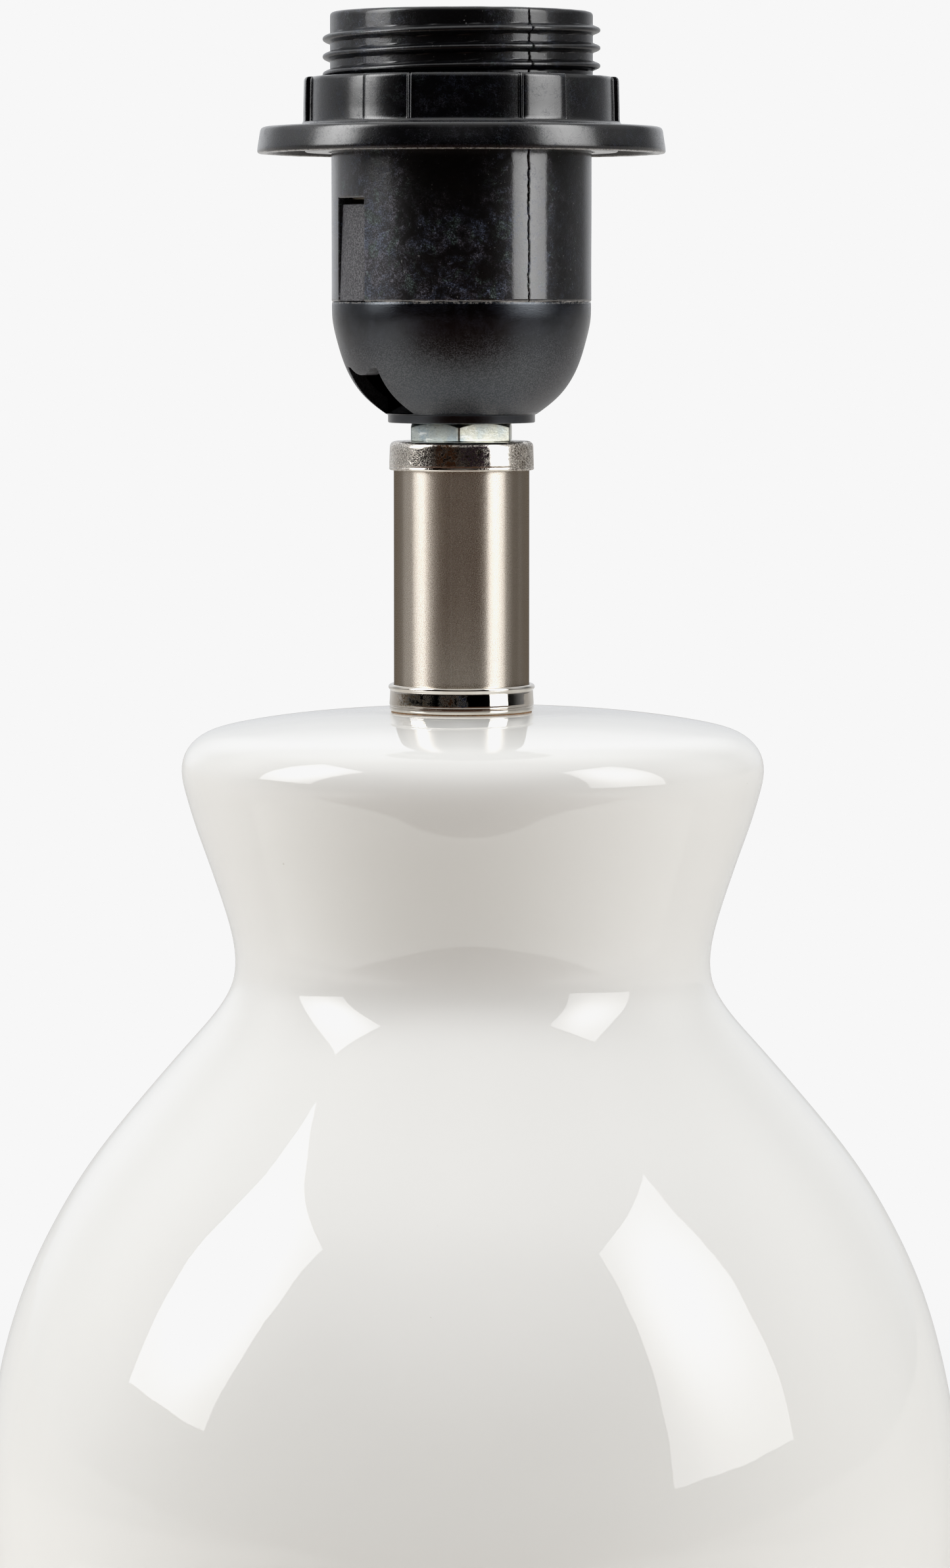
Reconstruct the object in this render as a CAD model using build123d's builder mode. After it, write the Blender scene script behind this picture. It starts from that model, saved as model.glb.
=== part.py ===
from build123d import *
import os
from math import cos, radians, sin

# Ceramic table lamp: a glazed, slip-cast body on a felt foot ring, a plated neck
# of ferrules and tube clamped by one hollow threaded rod, and an E27 lampholder
# with a threaded barrel and a screw-on shade ring.
#
# Frame: millimetres, +Z up, origin on the table under the middle of the foot,
# front of the lamp towards -Y.  Azimuths below are measured from the front,
# positive to the right (+X).
#
# Screw threads that only fasten (rod, nuts, grub screw, terminal screws) are
# plain cylinders at their major diameter.  The barrel's shade-ring thread is
# a real helix.

# ---------------------------------------------------------------- dimensions
# the metalwork stands a little off the body's centre: the rod hole is oversize
NECK_X = -1.58

# ceramic body
CERAMIC_TOP = 211.0
FOOT_Z = 2.0
WALL = 5.0
TOP_THICKNESS = 5.5
ROD_HOLE_R = 7.6
SEAT_R = 12.0
FOOT_INNER_R = 36.0
MOUTH_TOP = 7.4
BODY_OUTLINE = [  # (radius, height) from the seat round the rim and down to the foot
    (SEAT_R, CERAMIC_TOP),
    (18.0, 210.83),
    (24.0, 210.42),
    (30.0, 209.72),
    (35.0, 208.85),
    (38.2, 207.85),
    (40.2, 206.3),
    (41.25, 204.35),
    (41.42, 202.1),
    (40.85, 199.4),
    (39.72, 195.6),
    (38.15, 191.1),
    (36.55, 186.5),
    (35.1, 182.0),
    (34.2, 178.3),
    (33.92, 175.2),
    (34.3, 172.4),
    (35.45, 169.6),
    (37.55, 166.9),
    (40.15, 164.0),
    (46.0, 157.2),
    (51.6, 150.5),
    (56.5, 143.8),
    (60.4, 137.1),
    (63.6, 130.3),
    (66.3, 122.5),
    (68.3, 114.0),
    (69.6, 105.5),
    (70.0, 97.5),
    (69.2, 85.0),
    (66.7, 72.0),
    (62.9, 58.0),
    (58.1, 44.0),
    (52.8, 30.0),
    (47.3, 16.0),
    (42.6, 4.6),
]

# cord inlet, square to the wall at the back
INLET_Z = 16.0
INLET_R = 47.3
INLET_TILT = 21.5
INLET_HOLE_R = 5.2
CORD_HOLE_R = 3.4

# neck
ROD_R = 4.95
ROD_BORE_R = 3.75
ROD_BOTTOM = 190.0
ROD_TOP = 262.0
GASKET_TOP = 211.3
TUBE_R = 9.64
TUBE_WALL = 1.0
FERRULE_R = 10.26
LOWER_FERRULE_TOP = 215.0
UPPER_FERRULE_BOTTOM = 245.75
UPPER_FERRULE_TOP = 249.5
NUT_AF = 14.0
NUT_TOP = 252.1

# lampholder
LIP_R = 10.44
LIP_TOP = 253.3
JOINT_Z = 269.15
SKIRT_R = 18.4
BARREL_R = 18.55
BARREL_TOP = 309.86
SHELL_BORE_R = 16.4
GUARD_BORE_R = 15.6
GUARD_Z = 300.0
THREAD_PITCH = 2.5
THREAD_CREST_R = 19.6
THREAD_START = 291.9
THREAD_TURNS = 6.25
THREAD_END_ANGLE = 23.0
CABLE_SLOT_AZ = -62.0
CABLE_SLOT_W = 8.8
CABLE_SLOT_TOP = 259.95
GRUB_AZ = 118.0
GRUB_Z = 258.2
LATCH_AZ = -58.7
WINDOW_ARC = 21.8
WINDOW_TOP = 283.7
LATCH_TOP = 282.8
LATCH_BOTTOM = 269.55
LATCH_OUTER_R = 18.3
LATCH_INNER_R = 16.5

# shade ring
RING_BORE_R = 19.95
RING_LIP_R = 18.87
RING_BOTTOM = 290.03
RING_HUB_BOTTOM = 290.23
COLLAR_TOP = 300.74
COLLAR_R = 22.3
RECESS_R = 21.6
RECESS_ARC = 41.0
RECESS_AZ = 1.5

# contact insert and metal parts inside the holder
INSERT_R = 16.2
INSERT_BOTTOM = 274.5
INSERT_TOP = 299.8
FLOOR_TOP = 283.2
POCKET_R = 13.95
LAMP_THREAD_PITCH = 3.629
LAMP_MINOR_R = 12.18
LAMP_MAJOR_R = 13.28
SHEET = 0.35

os.makedirs("parts", exist_ok=True)


def around(azimuth, radius, height):
    """A point on the holder's axis circle, azimuth from the front."""
    a = radians(azimuth - 90)
    return (NECK_X + radius * cos(a), radius * sin(a), height)


def facing(azimuth, radius, height):
    """A plane at that point whose normal points straight out from the axis."""
    a = radians(azimuth - 90)
    return Plane(
        origin=around(azimuth, radius, height),
        x_dir=(-sin(a), cos(a), 0),
        z_dir=(cos(a), sin(a), 0),
    )


NECK_AXIS = Axis((NECK_X, 0, 0), (0, 0, 1))
NECK_PLANE = Plane(origin=(NECK_X, 0, 0), x_dir=(1, 0, 0), z_dir=(0, -1, 0))

# ---------------------------------------------------------------- ceramic body
with BuildPart() as ceramic_body:
    with BuildSketch(Plane.XZ) as body_profile:
        with BuildLine() as body_line:
            outside = Spline(*BODY_OUTLINE, tangents=[(1, 0), (-0.42, -1)])
            foot_round = Spline(
                outside @ 1, (41.3, 2.45), (39.9, FOOT_Z), tangents=[outside % 1, (-1, 0)]
            )
            foot_face = Line(foot_round @ 1, (FOOT_INNER_R + 0.8, FOOT_Z))
            foot_inner = Line(foot_face @ 1, (FOOT_INNER_R, FOOT_Z + 1.2))
            # round mouth of the foot, turned true so that a base disc fits it
            mouth = Line(foot_inner @ 1, (FOOT_INNER_R, MOUTH_TOP))
            # the cast wall follows the outside at one thickness
            inner_points = []
            for step in range(0, 25):
                t = 0.985 - step * 0.0314
                p, d = outside @ t, outside % t
                inner_points.append((p.X + d.Y * WALL, p.Y - d.X * WALL))
            inner_top = CERAMIC_TOP - TOP_THICKNESS
            inner_points = [q for q in inner_points if MOUTH_TOP + 2 < q[1] < inner_top - 6.0]
            rise = Line(mouth @ 1, inner_points[0])
            inside = Spline(*inner_points, (26.0, inner_top - 1.4), (19.0, inner_top))
            ceiling = Line(inside @ 1, (ROD_HOLE_R, inner_top))
            hole_side = Line(ceiling @ 1, (ROD_HOLE_R, CERAMIC_TOP))
            seat = Line(hole_side @ 1, outside @ 0)
        make_face()
    revolve(axis=Axis.Z)
    # cord hole through the back wall, square to its slope
    tilt = radians(INLET_TILT)
    inlet_plane = Plane(
        origin=(0, INLET_R, INLET_Z), x_dir=(1, 0, 0), z_dir=(0, cos(tilt), -sin(tilt))
    )
    with BuildSketch(inlet_plane.offset(4.0)):
        Circle(INLET_HOLE_R)
    extrude(amount=-14.0, mode=Mode.SUBTRACT)
ceramic_body.part.label = "ceramic_body"
export_step(ceramic_body.part, "parts/ceramic_body.step")

# ---------------------------------------------------------------- felt foot ring
with BuildPart() as foot_felt_ring:
    with BuildSketch(Plane.XY):
        Circle(41.0)
        Circle(36.4, mode=Mode.SUBTRACT)
    extrude(amount=FOOT_Z)
    fillet(foot_felt_ring.edges().group_by(Axis.Z)[0], 0.5)
foot_felt_ring.part.label = "foot_felt_ring"
export_step(foot_felt_ring.part, "parts/foot_felt_ring.step")

# ---------------------------------------------------------------- cord grommet
# snap-in bush: outer flange, body through the wall, inner bead
with BuildPart() as cord_grommet:
    with BuildSketch(inlet_plane.offset(0.35)):
        Circle(7.4)
    extrude(amount=1.6)
    fillet(cord_grommet.edges().sort_by(SortBy.LENGTH)[-1:], 0.7)
    with BuildSketch(inlet_plane.offset(0.35)):
        Circle(INLET_HOLE_R - 0.05)
    extrude(amount=-7.4)
    with BuildSketch(inlet_plane.offset(-6.3)):
        Circle(INLET_HOLE_R + 0.5)
    extrude(amount=-0.75, taper=20)
    with BuildSketch(inlet_plane.offset(3.0)):
        Circle(CORD_HOLE_R)
    extrude(amount=-12.0, mode=Mode.SUBTRACT)
cord_grommet.part.label = "cord_grommet"
export_step(cord_grommet.part, "parts/cord_grommet.step")

# ---------------------------------------------------------------- hollow rod
with BuildPart() as neck_rod:
    with BuildSketch(Plane(origin=(NECK_X, 0, ROD_BOTTOM))):
        Circle(ROD_R)
        Circle(ROD_BORE_R, mode=Mode.SUBTRACT)
    extrude(amount=ROD_TOP - ROD_BOTTOM)
    chamfer(neck_rod.edges().group_by(Axis.Z)[-1], 0.35)
neck_rod.part.label = "neck_rod"
export_step(neck_rod.part, "parts/neck_rod.step")

# ---------------------------------------------------------------- clamp inside the body
with BuildPart() as inner_rubber_washer:
    with BuildSketch(Plane(origin=(NECK_X, 0, CERAMIC_TOP - TOP_THICKNESS))):
        Circle(14.0)
        Circle(ROD_R + 0.05, mode=Mode.SUBTRACT)
    extrude(amount=-2.0)
inner_rubber_washer.part.label = "inner_rubber_washer"
export_step(inner_rubber_washer.part, "parts/inner_rubber_washer.step")

with BuildPart() as inner_steel_washer:
    with BuildSketch(Plane(origin=(NECK_X, 0, CERAMIC_TOP - TOP_THICKNESS - 2.0))):
        Circle(13.0)
        Circle(ROD_R + 0.15, mode=Mode.SUBTRACT)
    extrude(amount=-1.2)
    fillet(inner_steel_washer.edges().group_by(Axis.Z)[0].sort_by(SortBy.LENGTH)[-1], 0.3)
inner_steel_washer.part.label = "inner_steel_washer"
export_step(inner_steel_washer.part, "parts/inner_steel_washer.step")

with BuildPart() as inner_lock_nut:
    with BuildSketch(Plane(origin=(NECK_X, 0, CERAMIC_TOP - TOP_THICKNESS - 3.2))):
        RegularPolygon(NUT_AF / 2, 6, major_radius=False)
        Circle(ROD_R, mode=Mode.SUBTRACT)
    extrude(amount=-4.0)
    # the corners are turned down to a cone
    with BuildSketch(NECK_PLANE) as nut_turning:
        with BuildLine():
            Polyline((7.2, 198.3), (8.6, 199.1), (8.6, 197.0), (7.2, 197.0), close=True)
        make_face()
    revolve(axis=NECK_AXIS, mode=Mode.SUBTRACT)
inner_lock_nut.part.label = "inner_lock_nut"
export_step(inner_lock_nut.part, "parts/inner_lock_nut.step")

# plastic bush on the rod's lower end, so that the cord isn't cut by the thread
with BuildPart() as rod_end_bush:
    with BuildSketch(NECK_PLANE):
        with BuildLine():
            bush_a = Polyline((ROD_R, 194.5), (6.5, 194.5), (6.5, 188.2))
            bush_b = Spline(
                (6.5, 188.2), (5.2, 186.7), (3.25, 188.4), tangents=[(0, -1), (0, 1)]
            )
            bush_c = Polyline((3.25, 188.4), (3.25, ROD_BOTTOM), (ROD_R, ROD_BOTTOM), (ROD_R, 194.5))
        make_face()
    revolve(axis=NECK_AXIS)
rod_end_bush.part.label = "rod_end_bush"
export_step(rod_end_bush.part, "parts/rod_end_bush.step")

# ---------------------------------------------------------------- neck
with BuildPart() as neck_gasket:
    with BuildSketch(Plane(origin=(NECK_X, 0, CERAMIC_TOP))):
        Circle(FERRULE_R - 0.25)
        Circle(ROD_R + 0.2, mode=Mode.SUBTRACT)
    extrude(amount=GASKET_TOP - CERAMIC_TOP)
neck_gasket.part.label = "neck_gasket"
export_step(neck_gasket.part, "parts/neck_gasket.step")

# pressed cup with a rolled bead, open upwards
with BuildPart() as lower_ferrule:
    with BuildSketch(NECK_PLANE):
        with BuildLine():
            cup_a = Line((ROD_R + 0.2, GASKET_TOP), (FERRULE_R - 0.45, GASKET_TOP))
            cup_b = RadiusArc(cup_a @ 1, (FERRULE_R, GASKET_TOP + 0.45), -0.45)
            cup_c = Line(cup_b @ 1, (FERRULE_R, LOWER_FERRULE_TOP - 0.85))
            cup_d = ThreePointArc(
                cup_c @ 1,
                (FERRULE_R + 0.16, LOWER_FERRULE_TOP - 0.4),
                (FERRULE_R - 0.15, LOWER_FERRULE_TOP),
            )
            cup_e = Polyline(
                cup_d @ 1,
                (TUBE_R, LOWER_FERRULE_TOP),
                (TUBE_R, GASKET_TOP + 0.8),
                (ROD_R + 0.2, GASKET_TOP + 0.8),
                (ROD_R + 0.2, GASKET_TOP),
            )
        make_face()
    revolve(axis=NECK_AXIS)
lower_ferrule.part.label = "lower_ferrule"
export_step(lower_ferrule.part, "parts/lower_ferrule.step")

with BuildPart() as neck_tube:
    with BuildSketch(Plane(origin=(NECK_X, 0, GASKET_TOP + 0.8))):
        Circle(TUBE_R)
        Circle(TUBE_R - TUBE_WALL, mode=Mode.SUBTRACT)
    extrude(amount=UPPER_FERRULE_TOP - 0.8 - GASKET_TOP - 0.8)
neck_tube.part.label = "neck_tube"
export_step(neck_tube.part, "parts/neck_tube.step")

# pressed cup turned over the tube's upper end
with BuildPart() as upper_ferrule:
    with BuildSketch(NECK_PLANE):
        with BuildLine():
            cap_a = Polyline(
                (ROD_R + 0.2, UPPER_FERRULE_TOP),
                (ROD_R + 0.2, UPPER_FERRULE_TOP - 0.8),
                (TUBE_R, UPPER_FERRULE_TOP - 0.8),
                (TUBE_R, UPPER_FERRULE_BOTTOM),
                (FERRULE_R - 0.12, UPPER_FERRULE_BOTTOM),
                (FERRULE_R, UPPER_FERRULE_BOTTOM + 0.12),
                (FERRULE_R, UPPER_FERRULE_TOP - 0.75),
            )
            cap_b = RadiusArc(cap_a @ 1, (FERRULE_R - 0.75, UPPER_FERRULE_TOP), -0.75)
            cap_c = Line(cap_b @ 1, (ROD_R + 0.2, UPPER_FERRULE_TOP))
        make_face()
    revolve(axis=NECK_AXIS)
upper_ferrule.part.label = "upper_ferrule"
export_step(upper_ferrule.part, "parts/upper_ferrule.step")

# thin hexagon nut between the neck and the holder, a corner almost to the front
with BuildPart() as holder_lock_nut:
    with BuildSketch(Plane(origin=(NECK_X, 0, UPPER_FERRULE_TOP))):
        RegularPolygon(NUT_AF / 2, 6, major_radius=False, rotation=-94)
        Circle(ROD_R, mode=Mode.SUBTRACT)
    extrude(amount=NUT_TOP - UPPER_FERRULE_TOP)
    with BuildSketch(NECK_PLANE):
        with BuildLine():
            Polyline((7.15, NUT_TOP), (8.6, NUT_TOP - 0.75), (8.6, NUT_TOP + 0.3), (7.15, NUT_TOP + 0.3), close=True)
        make_face()
        with BuildLine():
            Polyline(
                (7.15, UPPER_FERRULE_TOP),
                (8.6, UPPER_FERRULE_TOP + 0.75),
                (8.6, UPPER_FERRULE_TOP - 0.3),
                (7.15, UPPER_FERRULE_TOP - 0.3),
                close=True,
            )
        make_face()
    revolve(axis=NECK_AXIS, mode=Mode.SUBTRACT)
holder_lock_nut.part.label = "holder_lock_nut"
export_step(holder_lock_nut.part, "parts/holder_lock_nut.step")

# ---------------------------------------------------------------- lampholder dome
with BuildPart() as holder_dome:
    with BuildSketch(NECK_PLANE):
        with BuildLine():
            dome_out = Spline(
                (18.35, JOINT_Z),
                (18.2, 267.2),
                (17.98, 265.3),
                (17.6, 263.5),
                (17.07, 261.67),
                (16.38, 259.81),
                (15.42, 257.95),
                (14.03, 256.09),
                (12.05, 254.3),
                (LIP_R + 0.25, LIP_TOP),
            )
            dome_lip = Polyline(
                dome_out @ 1,
                (LIP_R, LIP_TOP - 0.2),
                (LIP_R, NUT_TOP + 0.15),
                (LIP_R - 0.15, NUT_TOP),
                (ROD_R, NUT_TOP),
                (ROD_R, 262.4),
                (7.6, 262.4),
                (7.6, 255.4),
                (10.2, 255.4),
            )
            dome_in = Spline(
                dome_lip @ 1,
                (12.7, 257.4),
                (14.35, 260.1),
                (15.35, 263.4),
                (15.9, 267.0),
                (14.7, 270.2),
                tangents=[(1, 0.45), (-0.02, 1)],
            )
            dome_register = Polyline(
                dome_in @ 1,
                (14.7, INSERT_BOTTOM - 0.1),
                (INSERT_R, INSERT_BOTTOM - 0.1),
                (INSERT_R, JOINT_Z),
                (18.35, JOINT_Z),
            )
        make_face()
    revolve(axis=NECK_AXIS)
    # side cable outlet: a notch with a small hanging tab at the middle of its top
    with BuildSketch(facing(CABLE_SLOT_AZ, 8.4, 0)):
        with BuildLine():
            Polyline(
                (-CABLE_SLOT_W / 2, LIP_TOP + 0.1),
                (-CABLE_SLOT_W / 2, CABLE_SLOT_TOP),
                (-2.9, CABLE_SLOT_TOP),
            )
            ThreePointArc(
                (-2.9, CABLE_SLOT_TOP), (0, CABLE_SLOT_TOP - 1.05), (2.9, CABLE_SLOT_TOP)
            )
            Polyline(
                (2.9, CABLE_SLOT_TOP),
                (CABLE_SLOT_W / 2, CABLE_SLOT_TOP),
                (CABLE_SLOT_W / 2, LIP_TOP + 0.1),
                (-CABLE_SLOT_W / 2, LIP_TOP + 0.1),
            )
        make_face()
    extrude(amount=12.0, mode=Mode.SUBTRACT)
    # the register stops either side of the two latch tongues
    for az in (LATCH_AZ, LATCH_AZ + 180):
        with BuildSketch(facing(az, 13.0, 0)):
            with Locations((0, JOINT_Z + 3.4)):
                Rectangle(8.6, 6.6)
        extrude(amount=8.0, mode=Mode.SUBTRACT)
    # tapped hole for the grub screw, with a driver hole through the dome wall
    with BuildSketch(facing(GRUB_AZ, ROD_R - 0.2, GRUB_Z)):
        Circle(1.5)
    extrude(amount=4.5, mode=Mode.SUBTRACT)
    with BuildSketch(facing(GRUB_AZ, 8.6, GRUB_Z)):
        Circle(1.9)
    extrude(amount=12.0, mode=Mode.SUBTRACT)
holder_dome.part.label = "holder_dome"
export_step(holder_dome.part, "parts/holder_dome.step")

# slotted grub screw that stops the holder turning on the rod
with BuildPart() as rod_grub_screw:
    with BuildSketch(facing(GRUB_AZ, ROD_R, GRUB_Z)):
        Circle(1.5)
    extrude(amount=4.6)
    with BuildSketch(facing(GRUB_AZ, ROD_R + 4.6, GRUB_Z)):
        Rectangle(4.0, 0.55)
    extrude(amount=-0.9, mode=Mode.SUBTRACT)
rod_grub_screw.part.label = "rod_grub_screw"
export_step(rod_grub_screw.part, "parts/rod_grub_screw.step")

# ---------------------------------------------------------------- lampholder shell
with BuildPart() as holder_shell:
    with BuildSketch(NECK_PLANE):
        with BuildLine():
            Polyline(
                (SHELL_BORE_R, JOINT_Z),
                (SKIRT_R - 0.2, JOINT_Z),
                (SKIRT_R, JOINT_Z + 0.2),
                (SKIRT_R, 288.0),
                (BARREL_R, 289.5),
                (BARREL_R, BARREL_TOP - 0.5),
                (BARREL_R - 0.5, BARREL_TOP),
                (GUARD_BORE_R + 0.6, BARREL_TOP),
                (GUARD_BORE_R, BARREL_TOP - 0.6),
                (GUARD_BORE_R, GUARD_Z),
                (SHELL_BORE_R, GUARD_Z),
                close=True,
            )
        make_face()
    revolve(axis=NECK_AXIS)
    # shade-ring thread, right handed, running out at the back
    thread_height = THREAD_PITCH * THREAD_TURNS
    start_angle = THREAD_END_ANGLE - 360 * THREAD_TURNS
    start = Plane(
        origin=(NECK_X, 0, THREAD_START),
        x_dir=(cos(radians(start_angle)), sin(radians(start_angle)), 0),
        z_dir=(0, 0, 1),
    )
    with BuildLine(start):
        thread_path = Helix(THREAD_PITCH, thread_height, BARREL_R)
    with BuildSketch(Plane(origin=thread_path @ 0, x_dir=start.x_dir, z_dir=thread_path % 0)):
        with BuildLine():
            Polyline((-0.35, -0.72), (0.35, -0.55), (0.85, -0.36))
            ThreePointArc((0.85, -0.36), (THREAD_CREST_R - BARREL_R, 0), (0.85, 0.36))
            Polyline((0.85, 0.36), (0.35, 0.55), (-0.35, 0.72), (-0.35, -0.72))
        make_face()
    sweep(path=thread_path, is_frenet=True)
    # two latch windows, open at the joint
    for az in (LATCH_AZ, LATCH_AZ + 180):
        half = SKIRT_R * sin(radians(WINDOW_ARC / 2))
        with BuildSketch(facing(az, 12.0, 0)):
            with Locations((0, (JOINT_Z - 1.0 + WINDOW_TOP) / 2)):
                Rectangle(2 * half, WINDOW_TOP - JOINT_Z + 1.0)
        extrude(amount=10.0, mode=Mode.SUBTRACT)
holder_shell.part.label = "holder_shell"
export_step(holder_shell.part, "parts/holder_shell.step")

# ---------------------------------------------------------------- latch tongues
# curved tongues of the dome's own moulding that stand in the shell's windows
latch_half = SKIRT_R * sin(radians(WINDOW_ARC / 2)) - 0.33
with BuildPart() as latch_tab_front:
    with BuildSketch(Plane(origin=(NECK_X, 0, LATCH_BOTTOM))):
        Circle(LATCH_OUTER_R)
        Circle(LATCH_INNER_R, mode=Mode.SUBTRACT)
    extrude(amount=LATCH_TOP - LATCH_BOTTOM)
    with BuildSketch(facing(LATCH_AZ, 10.0, 0)):
        with Locations((0, (LATCH_BOTTOM + LATCH_TOP) / 2)):
            Rectangle(2 * latch_half, 30.0)
    extrude(amount=12.0, mode=Mode.INTERSECT)
    # catch face chamfered on the inner top edge
    with BuildSketch(facing(LATCH_AZ, 14.0, 0)) as front_lead:
        with Locations((0, LATCH_TOP)):
            Rectangle(12.0, 1.6)
    extrude(amount=2.9, mode=Mode.SUBTRACT)
latch_tab_front.part.label = "latch_tab_front"
export_step(latch_tab_front.part, "parts/latch_tab_front.step")

with BuildPart() as latch_tab_rear:
    with BuildSketch(Plane(origin=(NECK_X, 0, LATCH_BOTTOM))):
        Circle(LATCH_OUTER_R)
        Circle(LATCH_INNER_R, mode=Mode.SUBTRACT)
    extrude(amount=LATCH_TOP - LATCH_BOTTOM)
    with BuildSketch(facing(LATCH_AZ + 180, 10.0, 0)):
        with Locations((0, (LATCH_BOTTOM + LATCH_TOP) / 2)):
            Rectangle(2 * latch_half, 30.0)
    extrude(amount=12.0, mode=Mode.INTERSECT)
    with BuildSketch(facing(LATCH_AZ + 180, 14.0, 0)) as rear_lead:
        with Locations((0, LATCH_TOP)):
            Rectangle(12.0, 1.6)
    extrude(amount=2.9, mode=Mode.SUBTRACT)
latch_tab_rear.part.label = "latch_tab_rear"
export_step(latch_tab_rear.part, "parts/latch_tab_rear.step")

# ---------------------------------------------------------------- shade ring
with BuildPart() as shade_ring:
    with BuildSketch(NECK_PLANE):
        with BuildLine():
            Polyline(
                (RING_LIP_R, RING_HUB_BOTTOM),
                (RING_LIP_R, RING_HUB_BOTTOM + 0.65),
                (RING_BORE_R, RING_HUB_BOTTOM + 0.65),
                (RING_BORE_R, COLLAR_TOP - 0.35),
                (RING_BORE_R + 0.35, COLLAR_TOP),
                (COLLAR_R - 0.35, COLLAR_TOP),
                (COLLAR_R - 0.05, COLLAR_TOP - 0.35),
                (COLLAR_R + 0.12, 294.4),
                (COLLAR_R + 0.5, 294.0),
                (27.9, 293.75),
                (28.42, 293.35),
                (28.88, 290.35),
                (28.6, RING_BOTTOM),
                (27.6, RING_BOTTOM),
                (27.2, 291.7),
                (22.9, 292.1),
                (22.12, 291.4),
                (22.12, RING_HUB_BOTTOM),
                close=True,
            )
        make_face()
    revolve(axis=NECK_AXIS)
    # six wide panels set back between raised ribs
    for k in range(6):
        az = RECESS_AZ + 60 * k
        h = RECESS_ARC / 2
        with BuildSketch(Plane(origin=(NECK_X, 0, 294.5))):
            with BuildLine():
                a0, a1 = radians(az - h - 90), radians(az + h - 90)
                am = radians(az - 90)
                ThreePointArc(
                    (RECESS_R * cos(a0), RECESS_R * sin(a0)),
                    (RECESS_R * cos(am), RECESS_R * sin(am)),
                    (RECESS_R * cos(a1), RECESS_R * sin(a1)),
                )
                Polyline(
                    (RECESS_R * cos(a1), RECESS_R * sin(a1)),
                    (25.5 * cos(a1), 25.5 * sin(a1)),
                    (30.0 * cos(am), 30.0 * sin(am)),
                    (25.5 * cos(a0), 25.5 * sin(a0)),
                    (RECESS_R * cos(a0), RECESS_R * sin(a0)),
                )
            make_face()
        extrude(amount=7.0, mode=Mode.SUBTRACT)
shade_ring.part.label = "shade_ring"
export_step(shade_ring.part, "parts/shade_ring.step")

# ---------------------------------------------------------------- contact insert
with BuildPart() as contact_insert:
    with BuildSketch(NECK_PLANE):
        with BuildLine():
            Polyline(
                (0, INSERT_BOTTOM),
                (INSERT_R, INSERT_BOTTOM),
                (INSERT_R, INSERT_TOP),
                (POCKET_R, INSERT_TOP),
                (POCKET_R, FLOOR_TOP),
                (0, FLOOR_TOP),
                close=True,
            )
        make_face()
    revolve(axis=NECK_AXIS)
    # clearance flats behind the latch tongues
    for az in (LATCH_AZ, LATCH_AZ + 180):
        with BuildSketch(facing(az, 14.3, 0)):
            with Locations((0, (INSERT_BOTTOM - 1.0 + FLOOR_TOP + 0.3) / 2)):
                Rectangle(9.0, FLOOR_TOP + 0.3 - INSERT_BOTTOM + 1.0)
        extrude(amount=3.0, mode=Mode.SUBTRACT)
    # pockets under the floor for the two terminals, and slots up through it
    with BuildSketch(Plane(origin=(NECK_X, 0, INSERT_BOTTOM))):
        with Locations((-9.0, 0), (9.0, 0)):
            Rectangle(6.4, 7.4)
    extrude(amount=3.0, mode=Mode.SUBTRACT)
    with BuildSketch(Plane(origin=(NECK_X, 0, INSERT_BOTTOM))):
        with Locations((-11.1, 0), (12.75, 0)):
            Rectangle(1.3, 4.4)
    extrude(amount=10.0, mode=Mode.SUBTRACT)
    # core hole, vented to the rod
    with BuildSketch(Plane(origin=(NECK_X, 0, INSERT_BOTTOM))):
        Circle(2.4)
    extrude(amount=5.5, mode=Mode.SUBTRACT)
contact_insert.part.label = "contact_insert"
export_step(contact_insert.part, "parts/contact_insert.step")

# rolled screw contact for the lamp cap
with BuildPart() as lamp_thread_shell:
    shell_bottom, shell_top = FLOOR_TOP + 1.8, INSERT_TOP - 0.4
    crests = []
    for k in range(8):
        r_in = LAMP_MAJOR_R if k % 2 else LAMP_MINOR_R
        crests.append((r_in, shell_bottom + 0.6 + k * LAMP_THREAD_PITCH / 2))
    with BuildSketch(NECK_PLANE):
        with BuildLine():
            wave_inner = Spline(
                *crests, tangents=[(0, 1), (0, 1)]
            )
            wave_end = Polyline(
                wave_inner @ 1,
                (LAMP_MAJOR_R, shell_top),
                (LAMP_MAJOR_R + SHEET, shell_top),
                (LAMP_MAJOR_R + SHEET, crests[-1][1]),
            )
            wave_outer = Spline(
                *[(r + SHEET, z) for r, z in reversed(crests)], tangents=[(0, -1), (0, -1)]
            )
            wave_close = Polyline(
                wave_outer @ 1,
                (LAMP_MINOR_R + SHEET, shell_bottom),
                (LAMP_MINOR_R, shell_bottom),
                wave_inner @ 0,
            )
        make_face()
    revolve(axis=NECK_AXIS)
lamp_thread_shell.part.label = "lamp_thread_shell"
export_step(lamp_thread_shell.part, "parts/lamp_thread_shell.step")

# ---------------------------------------------------------------- centre contact
# spring leaf, from its fold beside the live terminal to the middle
with BuildPart() as centre_contact:
    with BuildSketch(NECK_PLANE):
        with BuildLine() as leaf_line:
            leaf = FilletPolyline(
                (-10.1, 283.65), (-9.4, 284.6), (-2.4, 286.35), (0.0, 286.9), (2.4, 286.35), (3.2, 285.5),
                radius=0.6,
            )
            offset(leaf, amount=0.22)
        make_face()
    extrude(amount=2.9, both=True)
centre_contact.part.label = "centre_contact"
export_step(centre_contact.part, "parts/centre_contact.step")

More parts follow.
